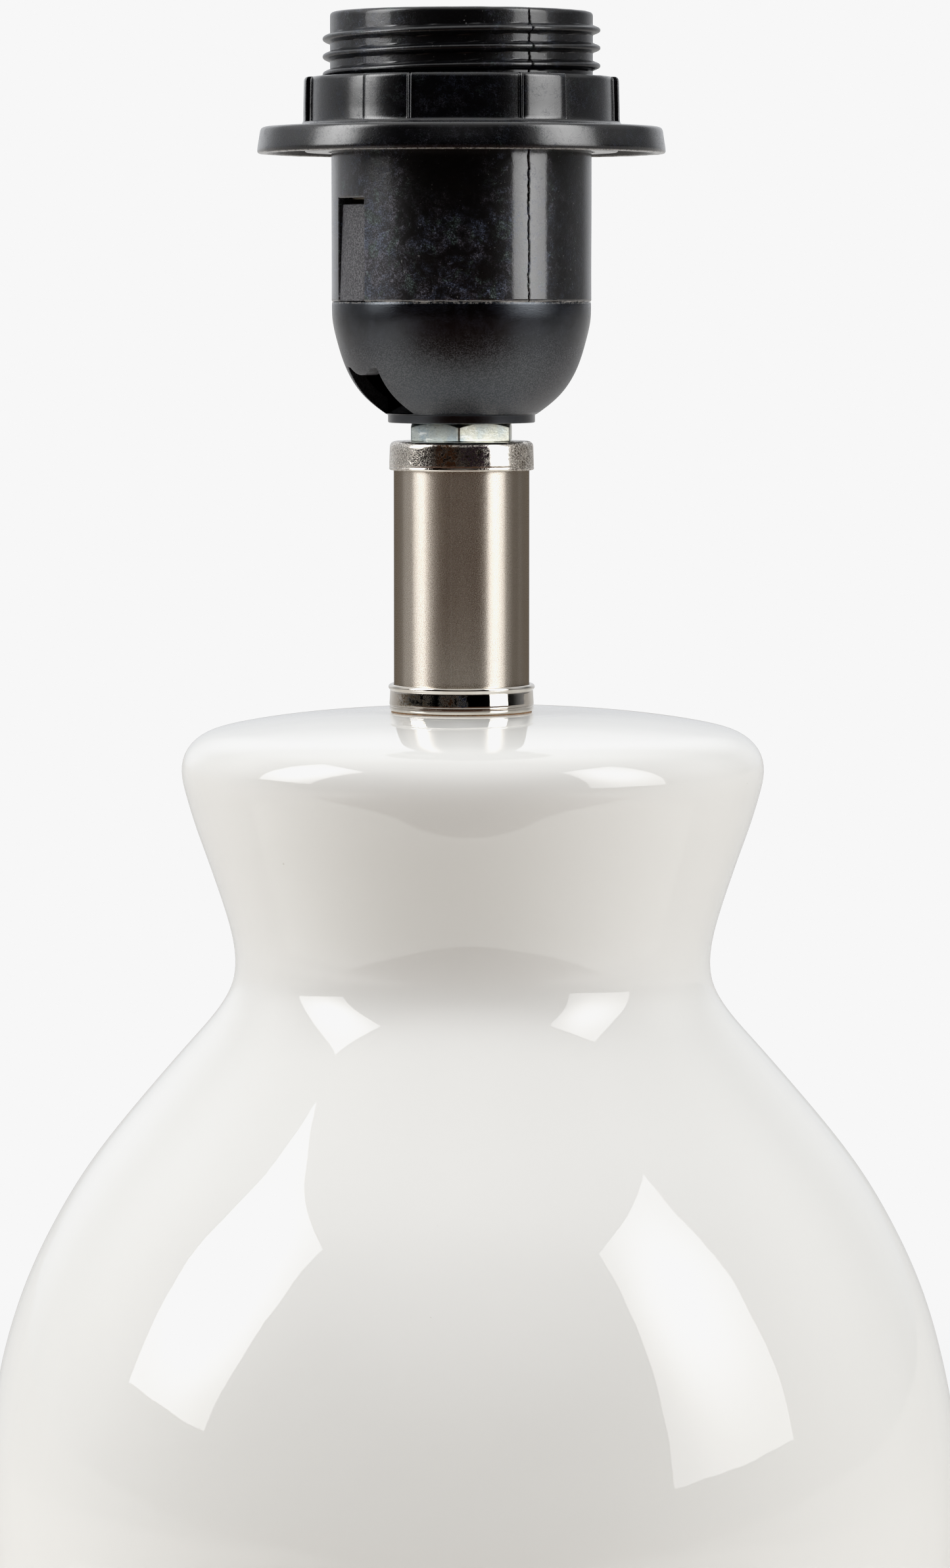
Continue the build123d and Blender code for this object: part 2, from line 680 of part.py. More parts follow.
# ---------------------------------------------------------------- terminals
with BuildPart() as live_terminal:
    with BuildSketch(Plane(origin=(NECK_X - 9.0, 0, 270.6))):
        Rectangle(5.6, 6.6)
    extrude(amount=6.9)
    with BuildSketch(Plane(origin=(NECK_X - 11.1, 0, 277.0))):
        Rectangle(0.5, 3.8)
    extrude(amount=7.0)
    # cross hole for the wire and a tapped hole from below for its screw
    with BuildSketch(Plane(origin=(NECK_X - 9.0, 0, 274.6), x_dir=(1, 0, 0), z_dir=(0, -1, 0))):
        Circle(1.35)
    extrude(amount=5.0, both=True, mode=Mode.SUBTRACT)
    with BuildSketch(Plane(origin=(NECK_X - 9.0, 0, 270.6))):
        Circle(1.25)
    extrude(amount=4.0, mode=Mode.SUBTRACT)
live_terminal.part.label = "live_terminal"
export_step(live_terminal.part, "parts/live_terminal.step")

with BuildPart() as neutral_terminal:
    with BuildSketch(Plane(origin=(NECK_X + 9.0, 0, 270.6))):
        Rectangle(5.6, 6.6)
    extrude(amount=6.9)
    # foot of the strap, then the strap up to the lower edge of the screw contact
    with BuildSketch(Plane(origin=(NECK_X + 11.8, 0, 275.6))):
        Rectangle(2.6, 3.8)
    extrude(amount=0.6)
    with BuildSketch(Plane(origin=(NECK_X + 12.85, 0, 275.6))):
        Rectangle(0.5, 3.8)
    extrude(amount=8.6)
    with BuildSketch(Plane(origin=(NECK_X + 12.6, 0, 284.2))):
        Rectangle(1.0, 3.8)
    extrude(amount=0.8)
    with BuildSketch(Plane(origin=(NECK_X + 9.0, 0, 274.6), x_dir=(1, 0, 0), z_dir=(0, -1, 0))):
        Circle(1.35)
    extrude(amount=5.0, both=True, mode=Mode.SUBTRACT)
    with BuildSketch(Plane(origin=(NECK_X + 9.0, 0, 270.6))):
        Circle(1.25)
    extrude(amount=4.0, mode=Mode.SUBTRACT)
neutral_terminal.part.label = "neutral_terminal"
export_step(neutral_terminal.part, "parts/neutral_terminal.step")

# two cheese-head screws driven from below
with BuildPart() as terminal_screws:
    for x in (-9.0, 9.0):
        with BuildSketch(Plane(origin=(NECK_X + x, 0, 270.6))):
            Circle(1.25)
        extrude(amount=2.6)
        with BuildSketch(Plane(origin=(NECK_X + x, 0, 268.9))):
            Circle(2.3)
        extrude(amount=1.7)
        with BuildSketch(Plane(origin=(NECK_X + x, 0, 268.9))):
            Rectangle(0.6, 5.0)
        extrude(amount=0.8, mode=Mode.SUBTRACT)
terminal_screws.part.label = "terminal_screws"
export_step(terminal_screws.part, "parts/terminal_screws.step")
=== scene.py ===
import math

import bmesh
import bpy
import numpy as np
from mathutils import Matrix, Vector, noise


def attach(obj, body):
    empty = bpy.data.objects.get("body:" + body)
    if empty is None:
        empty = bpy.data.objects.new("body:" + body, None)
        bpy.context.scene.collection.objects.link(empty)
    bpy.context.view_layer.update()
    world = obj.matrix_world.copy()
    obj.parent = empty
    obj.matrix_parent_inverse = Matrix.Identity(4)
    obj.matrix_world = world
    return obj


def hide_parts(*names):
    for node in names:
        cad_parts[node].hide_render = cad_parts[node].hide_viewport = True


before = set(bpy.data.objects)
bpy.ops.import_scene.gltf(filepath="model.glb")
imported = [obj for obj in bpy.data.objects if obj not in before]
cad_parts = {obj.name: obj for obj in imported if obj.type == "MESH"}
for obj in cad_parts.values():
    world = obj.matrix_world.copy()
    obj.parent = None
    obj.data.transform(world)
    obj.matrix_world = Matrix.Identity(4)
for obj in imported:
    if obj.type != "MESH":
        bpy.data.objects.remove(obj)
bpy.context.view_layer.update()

rad = math.radians

# ------------------------------------------------------------------ sizes, mm
# The same numbers as the solids, with the shoulder's slope a touch finer.  The metalwork's axis stands at NX, the
# ceramic's at 0.
NX = -1.58
BODY_OUTLINE = [
    (12.0, 211.0), (18.0, 210.83), (24.0, 210.42), (30.0, 209.72), (35.0, 208.85),
    (38.2, 207.85), (40.2, 206.3), (41.25, 204.35), (41.42, 202.1), (40.85, 199.4),
    (39.72, 195.6), (38.15, 191.1), (36.55, 186.5), (35.1, 182.0), (34.2, 178.3),
    (33.92, 175.2), (34.29, 172.4), (35.55, 169.66), (37.55, 166.9), (40.11, 163.97),
    (46.01, 157.21), (51.59, 150.49), (56.47, 143.78), (60.37, 137.09), (63.58, 130.29),
    (66.29, 122.5), (68.3, 114.0), (69.6, 105.5), (70.0, 97.5), (69.2, 85.0),
    (66.7, 72.0), (62.9, 58.0), (58.1, 44.0), (52.8, 30.0), (47.3, 16.0), (42.6, 4.6),
]
JOINT_Z = 269.15
SKIRT_R, BARREL_R, BARREL_TOP = 18.4, 18.55, 309.86
PITCH, CREST_R, T_START, T_TURNS, T_END = 2.5, 19.6, 291.9, 6.25, 23.0
LATCH_AZ, WINDOW_ARC, WINDOW_TOP = -58.7, 21.8, 283.7
SEAM_AZ = 30.5
SLOT_AZ = -62.0


# ------------------------------------------------------------------ mesh helpers
def smooth(a, b, x):
    t = min(1.0, max(0.0, (x - a) / (b - a)))
    return t * t * (3 - 2 * t)


def n3(x, y, z, seed=0.0):
    """Smooth noise of a place in mm, about -1 to 1."""
    return noise.noise(Vector((x + seed, y - seed * 0.7, z + seed * 1.3)))


def spline(points, count, start=None, end=None):
    """Points evenly along a natural cubic spline through the given ones."""
    p = np.array(points, float)
    t = np.r_[0, np.cumsum(np.hypot(*np.diff(p, axis=0).T))]
    h = np.diff(t)
    n = len(p)
    out = []
    grid = np.linspace(0, t[-1], count)
    for k in range(2):
        y = p[:, k]
        A = np.zeros((n, n))
        b = np.zeros(n)
        A[0, 0] = A[-1, -1] = 1.0
        for i in range(1, n - 1):
            A[i, i - 1], A[i, i], A[i, i + 1] = h[i - 1], 2 * (h[i - 1] + h[i]), h[i]
            b[i] = 6 * ((y[i + 1] - y[i]) / h[i] - (y[i] - y[i - 1]) / h[i - 1])
        for row, at, tangent in ((0, 0, start), (n - 1, n - 1, end)):
            if tangent is None:
                continue
            if row == 0:
                A[0, 0], A[0, 1] = 2 * h[0], h[0]
                b[0] = 6 * ((y[1] - y[0]) / h[0] - tangent[k])
            else:
                A[-1, -1], A[-1, -2] = 2 * h[-1], h[-1]
                b[-1] = 6 * (tangent[k] - (y[-1] - y[-2]) / h[-1])
        m = np.linalg.solve(A, b)
        i = np.clip(np.searchsorted(t, grid, side="right") - 1, 0, n - 2)
        dx = grid - t[i]
        out.append(
            y[i]
            + dx * ((y[i + 1] - y[i]) / h[i] - h[i] * (2 * m[i] + m[i + 1]) / 6)
            + dx**2 * m[i] / 2
            + dx**3 * (m[i + 1] - m[i]) / (6 * h[i])
        )
    return list(zip(out[0], out[1]))


def arc(cx, cz, r, a0, a1, n):
    """Points of a circle in the (radius, height) plane, angles in degrees."""
    return [
        (cx + r * math.cos(rad(a)), cz + r * math.sin(rad(a)))
        for a in np.linspace(a0, a1, n)
    ]


def link(name, verts, faces, body, mat, nodes=(), sharp=32.0):
    """A piece from points in mm that rides on a body and may stand for CAD nodes."""
    me = bpy.data.meshes.new(name)
    me.from_pydata((np.asarray(verts, float) * 0.001).tolist(), [], faces)
    me.validate()
    me.polygons.foreach_set("use_smooth", [True] * len(me.polygons))
    me.set_sharp_from_angle(angle=rad(sharp))
    me.materials.append(mat)
    ob = bpy.data.objects.new(name, me)
    bpy.context.scene.collection.objects.link(ob)
    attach(ob, body)
    if nodes:
        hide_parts(*nodes)
    return ob


def ring_faces(nr, nc, close_rows=True, skip=None):
    """Quads of a grid that closes round its columns; outside is left of rising rows."""
    faces = []
    for i in range(nr if close_rows else nr - 1):
        k = (i + 1) % nr
        for j in range(nc):
            m = (j + 1) % nc
            if skip is None or not skip(i, j):
                faces.append((i * nc + j, i * nc + m, k * nc + m, k * nc + j))
    return faces


def lathe(name, profile, body, mat, nodes=(), segs=256, cx=NX, sharp=32.0, bend=None):
    """A closed ring of a profile, up its outside and down its inside."""
    nc, nr = segs, len(profile)
    th = np.linspace(0, 2 * math.pi, nc, endpoint=False)
    verts = []
    for r, z in profile:
        for t in th:
            rr, zz = (r, z) if bend is None else bend(r, z, t)
            verts.append((cx + rr * math.cos(t), rr * math.sin(t), zz))
    return link(name, verts, ring_faces(nr, nc), body, mat, nodes, sharp)


def beveled(node, width, body, mat, segments=2, name=None):
    """A copy of a CAD node with its edges broken, standing for that node."""
    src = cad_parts[node]
    me = src.data.copy()
    ob = bpy.data.objects.new(name or node + "_v", me)
    bpy.context.scene.collection.objects.link(ob)
    bm = bmesh.new()
    bm.from_mesh(me)
    bmesh.ops.remove_doubles(bm, verts=bm.verts, dist=2e-6)
    bmesh.ops.dissolve_limit(
        bm, angle_limit=rad(1.0), verts=bm.verts, edges=bm.edges, use_dissolve_boundaries=False
    )
    bm.to_mesh(me)
    bm.free()
    mod = ob.modifiers.new("edge", "BEVEL")
    mod.width = width * 0.001
    mod.segments = segments
    mod.limit_method = "ANGLE"
    mod.angle_limit = rad(40)
    mod.use_clamp_overlap = True
    dg = bpy.context.evaluated_depsgraph_get()
    bpy.context.view_layer.update()
    done = bpy.data.meshes.new_from_object(ob.evaluated_get(bpy.context.evaluated_depsgraph_get()))
    ob.modifiers.clear()
    ob.data = done
    done.name = ob.name
    done.polygons.foreach_set("use_smooth", [True] * len(done.polygons))
    done.set_sharp_from_angle(angle=rad(28))
    done.materials.clear()
    done.materials.append(mat)
    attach(ob, body)
    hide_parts(node)
    return ob


def bore(ob, origin, axis, radius, inward, outward):
    """Cuts a round hole of a radius along an axis through a closed piece, sizes in mm."""
    bm = bmesh.new()
    bmesh.ops.create_cone(
        bm, cap_ends=True, segments=96, radius1=radius * 0.001, radius2=radius * 0.001, depth=(inward + outward) * 0.001
    )
    axis = Vector(axis).normalized()
    middle = Vector(origin) + axis * ((outward - inward) / 2)
    turn = Vector((0, 0, 1)).rotation_difference(axis).to_matrix().to_4x4()
    bm.transform(Matrix.Translation(middle * 0.001) @ turn)
    me = bpy.data.meshes.new("bore")
    bm.to_mesh(me)
    bm.free()
    tool = bpy.data.objects.new("bore", me)
    bpy.context.scene.collection.objects.link(tool)
    mod = ob.modifiers.new("bore", "BOOLEAN")
    mod.operation, mod.solver, mod.object = "DIFFERENCE", "MANIFOLD", tool
    bpy.context.view_layer.update()
    done = bpy.data.meshes.new_from_object(ob.evaluated_get(bpy.context.evaluated_depsgraph_get()))
    ob.modifiers.clear()
    done.name = ob.data.name + "_cut"
    ob.data = done
    done.polygons.foreach_set("use_smooth", [True] * len(done.polygons))
    done.set_sharp_from_angle(angle=rad(40.0))
    bpy.data.objects.remove(tool)
    bpy.data.meshes.remove(me)


# ------------------------------------------------------------------ node helpers
class Nodes:
    """A material's node tree, built a call at a time."""

    def __init__(self, name):
        self.mat = bpy.data.materials.new(name)
        self.mat.use_nodes = True
        self.nt = self.mat.node_tree
        self.nt.nodes.clear()
        self.out = self.nt.nodes.new("ShaderNodeOutputMaterial")
        self.bsdf = self.nt.nodes.new("ShaderNodeBsdfPrincipled")
        self.nt.links.new(self.bsdf.outputs[0], self.out.inputs["Surface"])
        self.coord = self.nt.nodes.new("ShaderNodeTexCoord").outputs["Object"]

    def set(self, **values):
        for key, v in values.items():
            sock = self.bsdf.inputs[key.replace("_", " ")]
            self.put(sock, v)
        return self

    def put(self, sock, v):
        if isinstance(v, bpy.types.NodeSocket):
            self.nt.links.new(v, sock)
        elif isinstance(v, (tuple, list)) and len(v) == 3 and sock.type == "RGBA":
            sock.default_value = (*v, 1.0)
        else:
            sock.default_value = v

    def node(self, kind, out=0, props=None, **inputs):
        nd = self.nt.nodes.new(kind)
        for k, v in (props or {}).items():
            setattr(nd, k, v)
        for k, v in inputs.items():
            name = k.replace("_", " ")
            sock = nd.inputs[int(k[1:])] if k[0] == "i" and k[1:].isdigit() else nd.inputs[name]
            self.put(sock, v)
        return nd.outputs[out]

    def noise(self, scale, detail=3.0, rough=0.55, vec=None, distort=0.0):
        return self.node(
            "ShaderNodeTexNoise", 0, Vector=vec or self.coord, Scale=scale, Detail=detail,
            Roughness=rough, Distortion=distort,
        )

    def voronoi(self, scale, vec=None, feature="F1", out=0, randomness=1.0):
        return self.node(
            "ShaderNodeTexVoronoi", out, {"feature": feature}, Vector=vec or self.coord,
            Scale=scale, Randomness=randomness,
        )

    def math(self, op, a, b=0.0, c=0.0, clamp=False):
        return self.node("ShaderNodeMath", 0, {"operation": op, "use_clamp": clamp}, i0=a, i1=b, i2=c)

    def remap(self, v, a, b, lo=0.0, hi=1.0, kind="SMOOTHSTEP"):
        nd = self.nt.nodes.new("ShaderNodeMapRange")
        nd.interpolation_type = kind
        for i, x in enumerate((v, a, b, lo, hi)):
            self.put(nd.inputs[i], x)
        return nd.outputs[0]

    def mix(self, fac, a, b):
        nd = self.nt.nodes.new("ShaderNodeMix")
        nd.data_type = "RGBA"
        self.put(nd.inputs[0], fac)
        self.put(nd.inputs[6], a)
        self.put(nd.inputs[7], b)
        return nd.outputs[2]

    def xyz(self, vec=None):
        nd = self.nt.nodes.new("ShaderNodeSeparateXYZ")
        self.put(nd.inputs[0], vec or self.coord)
        return nd.outputs

    def scaled(self, sx, sy, sz, vec=None):
        return self.node(
            "ShaderNodeVectorMath", 0, {"operation": "MULTIPLY"}, i0=vec or self.coord, i1=(sx, sy, sz)
        )

    def polar(self, cx=NX * 0.001, radius=0.0185):
        """(arc length, 0, height) round the metalwork's axis, in metres."""
        x, y, z = self.xyz()
        dx = self.math("SUBTRACT", x, cx)
        ang = self.math("ARCTAN2", dx, self.math("MULTIPLY", y, -1.0))
        s = self.math("MULTIPLY", ang, radius)
        nd = self.nt.nodes.new("ShaderNodeCombineXYZ")
        self.put(nd.inputs[0], s)
        self.put(nd.inputs[2], z)
        return nd.outputs[0], ang, z

    def bump(self, height, distance, strength=1.0, normal=None):
        nd = self.nt.nodes.new("ShaderNodeBump")
        nd.inputs["Strength"].default_value = strength
        nd.inputs["Distance"].default_value = distance
        self.put(nd.inputs["Height"], height)
        if normal is not None:
            self.put(nd.inputs["Normal"], normal)
        return nd.outputs[0]


# ------------------------------------------------------------------ materials
def glaze_material():
    n = Nodes("glaze_white")
    x, y, z = n.xyz()
    cloud = n.noise(14.0, 3.0, 0.5)
    fine = n.noise(420.0, 4.0, 0.6)
    base = n.mix(cloud, (0.790, 0.788, 0.767), (0.812, 0.812, 0.795))
    # a few pale specks and pinholes in the glaze
    speck = n.remap(n.voronoi(240.0), 0.020, 0.045, 1.0, 0.0)
    rare = n.remap(n.noise(130.0, 2.0), 0.60, 0.70)
    spot = n.math("MULTIPLY", speck, rare)
    base = n.mix(n.math("MULTIPLY", spot, 0.35), base, (0.50, 0.46, 0.40))
    # bare clay on the foot ring, wiped clean of glaze with an uneven edge
    edge = n.math("ADD", z, n.math("MULTIPLY", n.math("SUBTRACT", n.noise(160.0, 3.0), 0.5), 0.0012))
    bare = n.remap(edge, 0.0034, 0.0028, 0.0, 1.0)
    clay = n.mix(n.noise(900.0, 4.0), (0.70, 0.64, 0.55), (0.80, 0.76, 0.68))
    n.set(
        Base_Color=n.mix(bare, base, clay),
        Roughness=n.remap(bare, 0.0, 1.0, 0.45, 0.85, "LINEAR"),
        IOR=1.5,
        Specular_IOR_Level=0.0,
        Coat_Weight=n.remap(bare, 0.0, 1.0, 1.0, 0.0, "LINEAR"),
        Coat_Roughness=0.012,
        Coat_IOR=1.53,
    )
    # slow ripple of the fired glaze, then a very fine orange peel
    wave = n.bump(n.noise(46.0, 2.0, 0.4), 0.0016, 0.10)
    peel = n.bump(fine, 0.0002, 0.010, wave)
    pits = n.bump(n.math("MULTIPLY", spot, -1.0), 0.0002, 0.4, peel)
    n.put(n.bsdf.inputs["Normal"], pits)
    n.put(n.bsdf.inputs["Coat Normal"], pits)
    return n.mat


def black_plastic(name, film=1.0, rough=0.34, gloss=0.085, skin=1.75, under=0.38, skirt_film_and_painted_light=False, pale_edge_z=()):
    """Moulded black thermoplastic: a polished skin under a film of fine handling specks; on the holder's skirt the
    film's spread also paints light and shade.
    """
    n = Nodes(name)
    vec, ang, z = n.polar()
    cloud = n.remap(n.noise(290.0, 3.0, 0.6, distort=0.6), 0.36, 0.60)
    patch = n.remap(n.noise(1050.0, 4.0, 0.7, distort=0.5), 0.38, 0.62)
    density = n.math("ADD", 0.03, n.math("MULTIPLY", cloud, n.math("ADD", 0.08, n.math("MULTIPLY", patch, 0.98))))
    shine = 1.0
    if skirt_film_and_painted_light:
        # the threaded barrel is duller than the skirt
        shine = n.remap(z, 0.2903, 0.2914, 1.0, 0.42)
        density = n.math("MULTIPLY", density, n.remap(z, 0.2903, 0.2914, 1.0, 0.45))
        stray = n.math("MULTIPLY", n.math("SUBTRACT", n.noise(300.0, 3.0, 0.6), 0.5), 0.30)
        at = n.math("ADD", ang, stray)
        # more pale film on the left of the skirt, thinning towards the ring: handling specks spread as a painted glow
        # of the left lamp, fading into a painted shadow under the flange
        thick = n.math("MULTIPLY", n.remap(at, rad(-53.0), rad(-46.0)), n.remap(at, rad(-26.0), rad(-36.0)))
        thick = n.math("MULTIPLY", thick, n.remap(z, 0.2875, 0.2800, 0.35, 1.0))
        # painted shade: less pale film on the front of the skirt, least of all just under the ring's flange
        painted_front_shade = n.math("MULTIPLY", n.remap(at, rad(-30.0), rad(-20.0)), n.remap(at, rad(16.0), rad(6.0)))
        painted_front_shade = n.math("MULTIPLY", painted_front_shade, n.remap(n.math("ADD", z, n.math("MULTIPLY", stray, 0.012)), 0.2780, 0.2870, 0.25, 1.0))
        density = n.math("MULTIPLY", density, n.math("SUBTRACT", 1.0, n.math("MULTIPLY", painted_front_shade, 0.9)))
        # painted shade on the right side of the skirt: less pale film there, and less gloss
        edge = n.math("MULTIPLY", n.remap(at, rad(40.0), rad(46.0)), n.remap(at, rad(110.0), rad(90.0)))
        density = n.math("MULTIPLY", density, n.math("SUBTRACT", 1.0, n.math("MULTIPLY", edge, 0.80)))
        shine = n.math("MULTIPLY", shine, n.math("SUBTRACT", 1.0, n.math("MULTIPLY", edge, 0.35)))
        density = n.math("ADD", density, n.math("MULTIPLY", thick, n.math("ADD", 0.34, n.math("MULTIPLY", patch, 0.55))))
    grain = n.noise(5000.0, 2.0, 0.7)
    hair = n.noise(1.0, 3.0, 0.7, vec=n.scaled(2600.0, 2600.0, 4600.0), distort=1.4)
    speck = n.math("MULTIPLY", density, n.remap(n.math("MAXIMUM", grain, hair), 0.485, 0.67))
    rare = n.remap(n.noise(2600.0, 2.0, 0.6), 0.68, 0.75)
    body = n.mix(n.remap(n.noise(60.0, 2.0), 0.3, 0.7), (0.0014, 0.0014, 0.0020), (0.0028, 0.0028, 0.0038))
    veil = n.mix(n.remap(n.noise(330.0, 2.0), 0.42, 0.58), (0.125, 0.150, 0.215), (0.150, 0.150, 0.185))
    veil = n.mix(n.remap(n.noise(410.0, 2.0, distort=1.0), 0.55, 0.63), veil, (0.130, 0.178, 0.176))
    col = n.mix(n.math("MULTIPLY", density, 0.05 * film), body, veil)
    col = n.mix(n.math("MULTIPLY", speck, 0.92 * film), col, veil)
    col = n.mix(n.math("MULTIPLY", rare, 0.6 * film), col, (0.22, 0.22, 0.22))
    for height, reach in pale_edge_z:
        # pale line along a joint: rubbed wear, and on the holder's skirt also a painted highlight along its flash lip
        d = n.math("ABSOLUTE", n.math("SUBTRACT", z, height * 0.001))
        near = n.remap(d, 0.0, reach * 0.001, 1.0, 0.0)
        worn = n.math("MULTIPLY", near, n.remap(n.noise(1900.0, 4.0, 0.75), 0.36, 0.54))
        col = n.mix(n.math("MULTIPLY", worn, 0.85), col, (0.32, 0.305, 0.29))
    if skirt_film_and_painted_light:
        # a thin pale line down the right edge of the latch window
        d = n.math("ABSOLUTE", n.math("SUBTRACT", ang, rad(LATCH_AZ + WINDOW_ARC / 2 + 0.2)))
        worn = n.math("MULTIPLY", n.remap(d, 0.0, 0.010, 1.0, 0.0), n.remap(n.noise(1500.0, 3.0, 0.7), 0.34, 0.52))
        worn = n.math("MULTIPLY", worn, n.remap(z, 0.28385, 0.28370, 0.0, 1.0))
        col = n.mix(n.math("MULTIPLY", worn, 0.7), col, (0.26, 0.255, 0.25))
    n.set(
        Base_Color=col,
        Roughness=n.math("ADD", rough, n.math("MULTIPLY", speck, 0.16)),
        IOR=1.5,
        Specular_IOR_Level=under,
        Coat_Weight=n.math("MULTIPLY", n.math("SUBTRACT", 1.0, n.math("MULTIPLY", speck, 0.55)), shine),
        Coat_Roughness=gloss,
        Coat_IOR=skin,
    )
    flow = n.bump(n.noise(300.0, 3.0, 0.6), 0.0004, 0.04)
    rough_skin = n.bump(grain, 0.00005, 0.60, flow)
    n.set(Normal=rough_skin, Coat_Normal=n.bump(n.math("ADD", grain, n.math("MULTIPLY", hair, 0.6)), 0.00002, 0.13, flow))
    return n.mat


def textured_plastic(name):
    """Spark-eroded matt black for the latch tongues."""
    n = Nodes(name)
    grain = n.noise(4400.0, 3.0, 0.7)
    col = n.mix(n.remap(grain, 0.44, 0.60), (0.032, 0.032, 0.037), (0.152, 0.152, 0.164))
    n.set(Base_Color=col, Roughness=n.remap(grain, 0.3, 0.7, 0.40, 0.56), IOR=1.5)
    n.set(Normal=n.bump(grain, 0.00012, 0.8))
    return n.mat


def dome_plastic(name):
    """Dome: glossier under the joint, a matt mould finish towards the lip."""
    n = Nodes(name)
    x, y, z = n.xyz()
    grain = n.noise(5200.0, 2.0, 0.7)
    mid = n.noise(420.0, 4.0, 0.65)
    edge = n.math("ADD", z, n.math("MULTIPLY", n.math("SUBTRACT", n.noise(260.0, 3.0), 0.5), 0.004))
    low = n.math("MULTIPLY", n.remap(edge, 0.2668, 0.2592, 0.0, 1.0), n.remap(z, 0.25335, 0.25375, 0.0, 1.0))
    glossy = n.mix(n.remap(mid, 0.42, 0.66), (0.0012, 0.0012, 0.0020), (0.0056, 0.0060, 0.0088))
    fleck = n.math("MULTIPLY", n.remap(grain, 0.42, 0.66), n.remap(mid, 0.40, 0.60))
    glossy = n.mix(n.math("MULTIPLY", fleck, 0.24), glossy, (0.040, 0.046, 0.060))
    matt = n.mix(n.remap(grain, 0.44, 0.59), (0.0036, 0.0036, 0.0044), (0.060, 0.060, 0.064))
    col = n.mix(low, glossy, matt)
    # a pale line along the joint at the dome's top: rubbed wear, and a painted highlight on the joint's edge
    d = n.math("ABSOLUTE", n.math("SUBTRACT", z, 0.26905))
    worn = n.math("MULTIPLY", n.remap(d, 0.0, 0.00020, 1.0, 0.0), n.remap(n.noise(1900.0, 4.0, 0.75), 0.44, 0.58))
    col = n.mix(n.math("MULTIPLY", worn, 0.8), col, (0.27, 0.255, 0.24))
    n.set(
        Base_Color=col,
        Roughness=n.math("ADD", n.remap(low, 0.0, 1.0, 0.12, 0.32, "LINEAR"), n.remap(grain, 0.3, 0.75, -0.02, 0.05)),
        IOR=1.5,
        Specular_IOR_Level=0.85,
        Specular_Tint=(0.84, 0.91, 1.0),
    )
    n.set(Normal=n.bump(n.noise(4200.0, 4.0, 0.85), 0.00005, 0.42))
    return n.mat


def satin_nickel():
    n = Nodes("satin_nickel")
    vec, ang, z = n.polar(radius=0.0096)
    # brushing runs round the tube: long along the arc, short up the height
    lines = n.noise(1.0, 3.0, 0.6, vec=n.scaled(420.0, 1.0, 9000.0, vec))
    sand = n.noise(1.0, 3.0, 0.8, vec=n.scaled(9000.0, 1.0, 11500.0, vec))
    tone = n.noise(90.0, 3.0)
    col = n.mix(n.remap(sand, 0.38, 0.64), (0.330, 0.286, 0.240), (0.790, 0.732, 0.660))
    col = n.mix(n.math("MULTIPLY", n.remap(tone, 0.35, 0.7), 0.25), col, (0.50, 0.44, 0.37))
    # painted shade: the tube turns darker brown towards both sides, most just right of its bright band, a tarnish tone
    # deepened to stand for shade
    right = n.math("MULTIPLY", n.remap(ang, rad(41.0), rad(50.0)), n.remap(ang, rad(150.0), rad(120.0)))
    left = n.math("MULTIPLY", n.remap(ang, rad(-55.0), rad(-62.0)), n.remap(ang, rad(-150.0), rad(-120.0)))
    col = n.mix(n.math("ADD", n.math("MULTIPLY", right, n.remap(ang, rad(53.0), rad(60.0), 0.74, 0.34)), n.math("MULTIPLY", left, 0.45)), col, (0.255, 0.218, 0.180))
    # the rolled tube's faint joint line, left of the front
    off = n.math("ABSOLUTE", n.math("SUBTRACT", n.math("ADD", ang, n.math("MULTIPLY", n.noise(240.0), 0.02)), -0.14))
    seam = n.remap(off, 0.004, 0.016, 1.0, 0.0)
    col = n.mix(n.math("MULTIPLY", seam, 0.30), col, (0.72, 0.68, 0.62))
    n.set(
        Base_Color=col,
        Metallic=1.0,
        Roughness=n.remap(n.noise(1.0, 2.0, 0.7, vec=n.scaled(8300.0, 5.0, 9400.0, vec)), 0.46, 0.66, 0.25, 0.47),
        Specular_Tint=(0.36, 0.33, 0.30),
        Anisotropic=0.97,
        Anisotropic_Rotation=0.25,
    )
    tan = n.node("ShaderNodeTangent", 0, {"direction_type": "RADIAL", "axis": "Z"})
    n.set(Tangent=tan)
    g = n.bump(lines, 0.00002, 0.14)
    n.set(Normal=n.bump(sand, 0.00003, 0.10, g))
    return n.mat


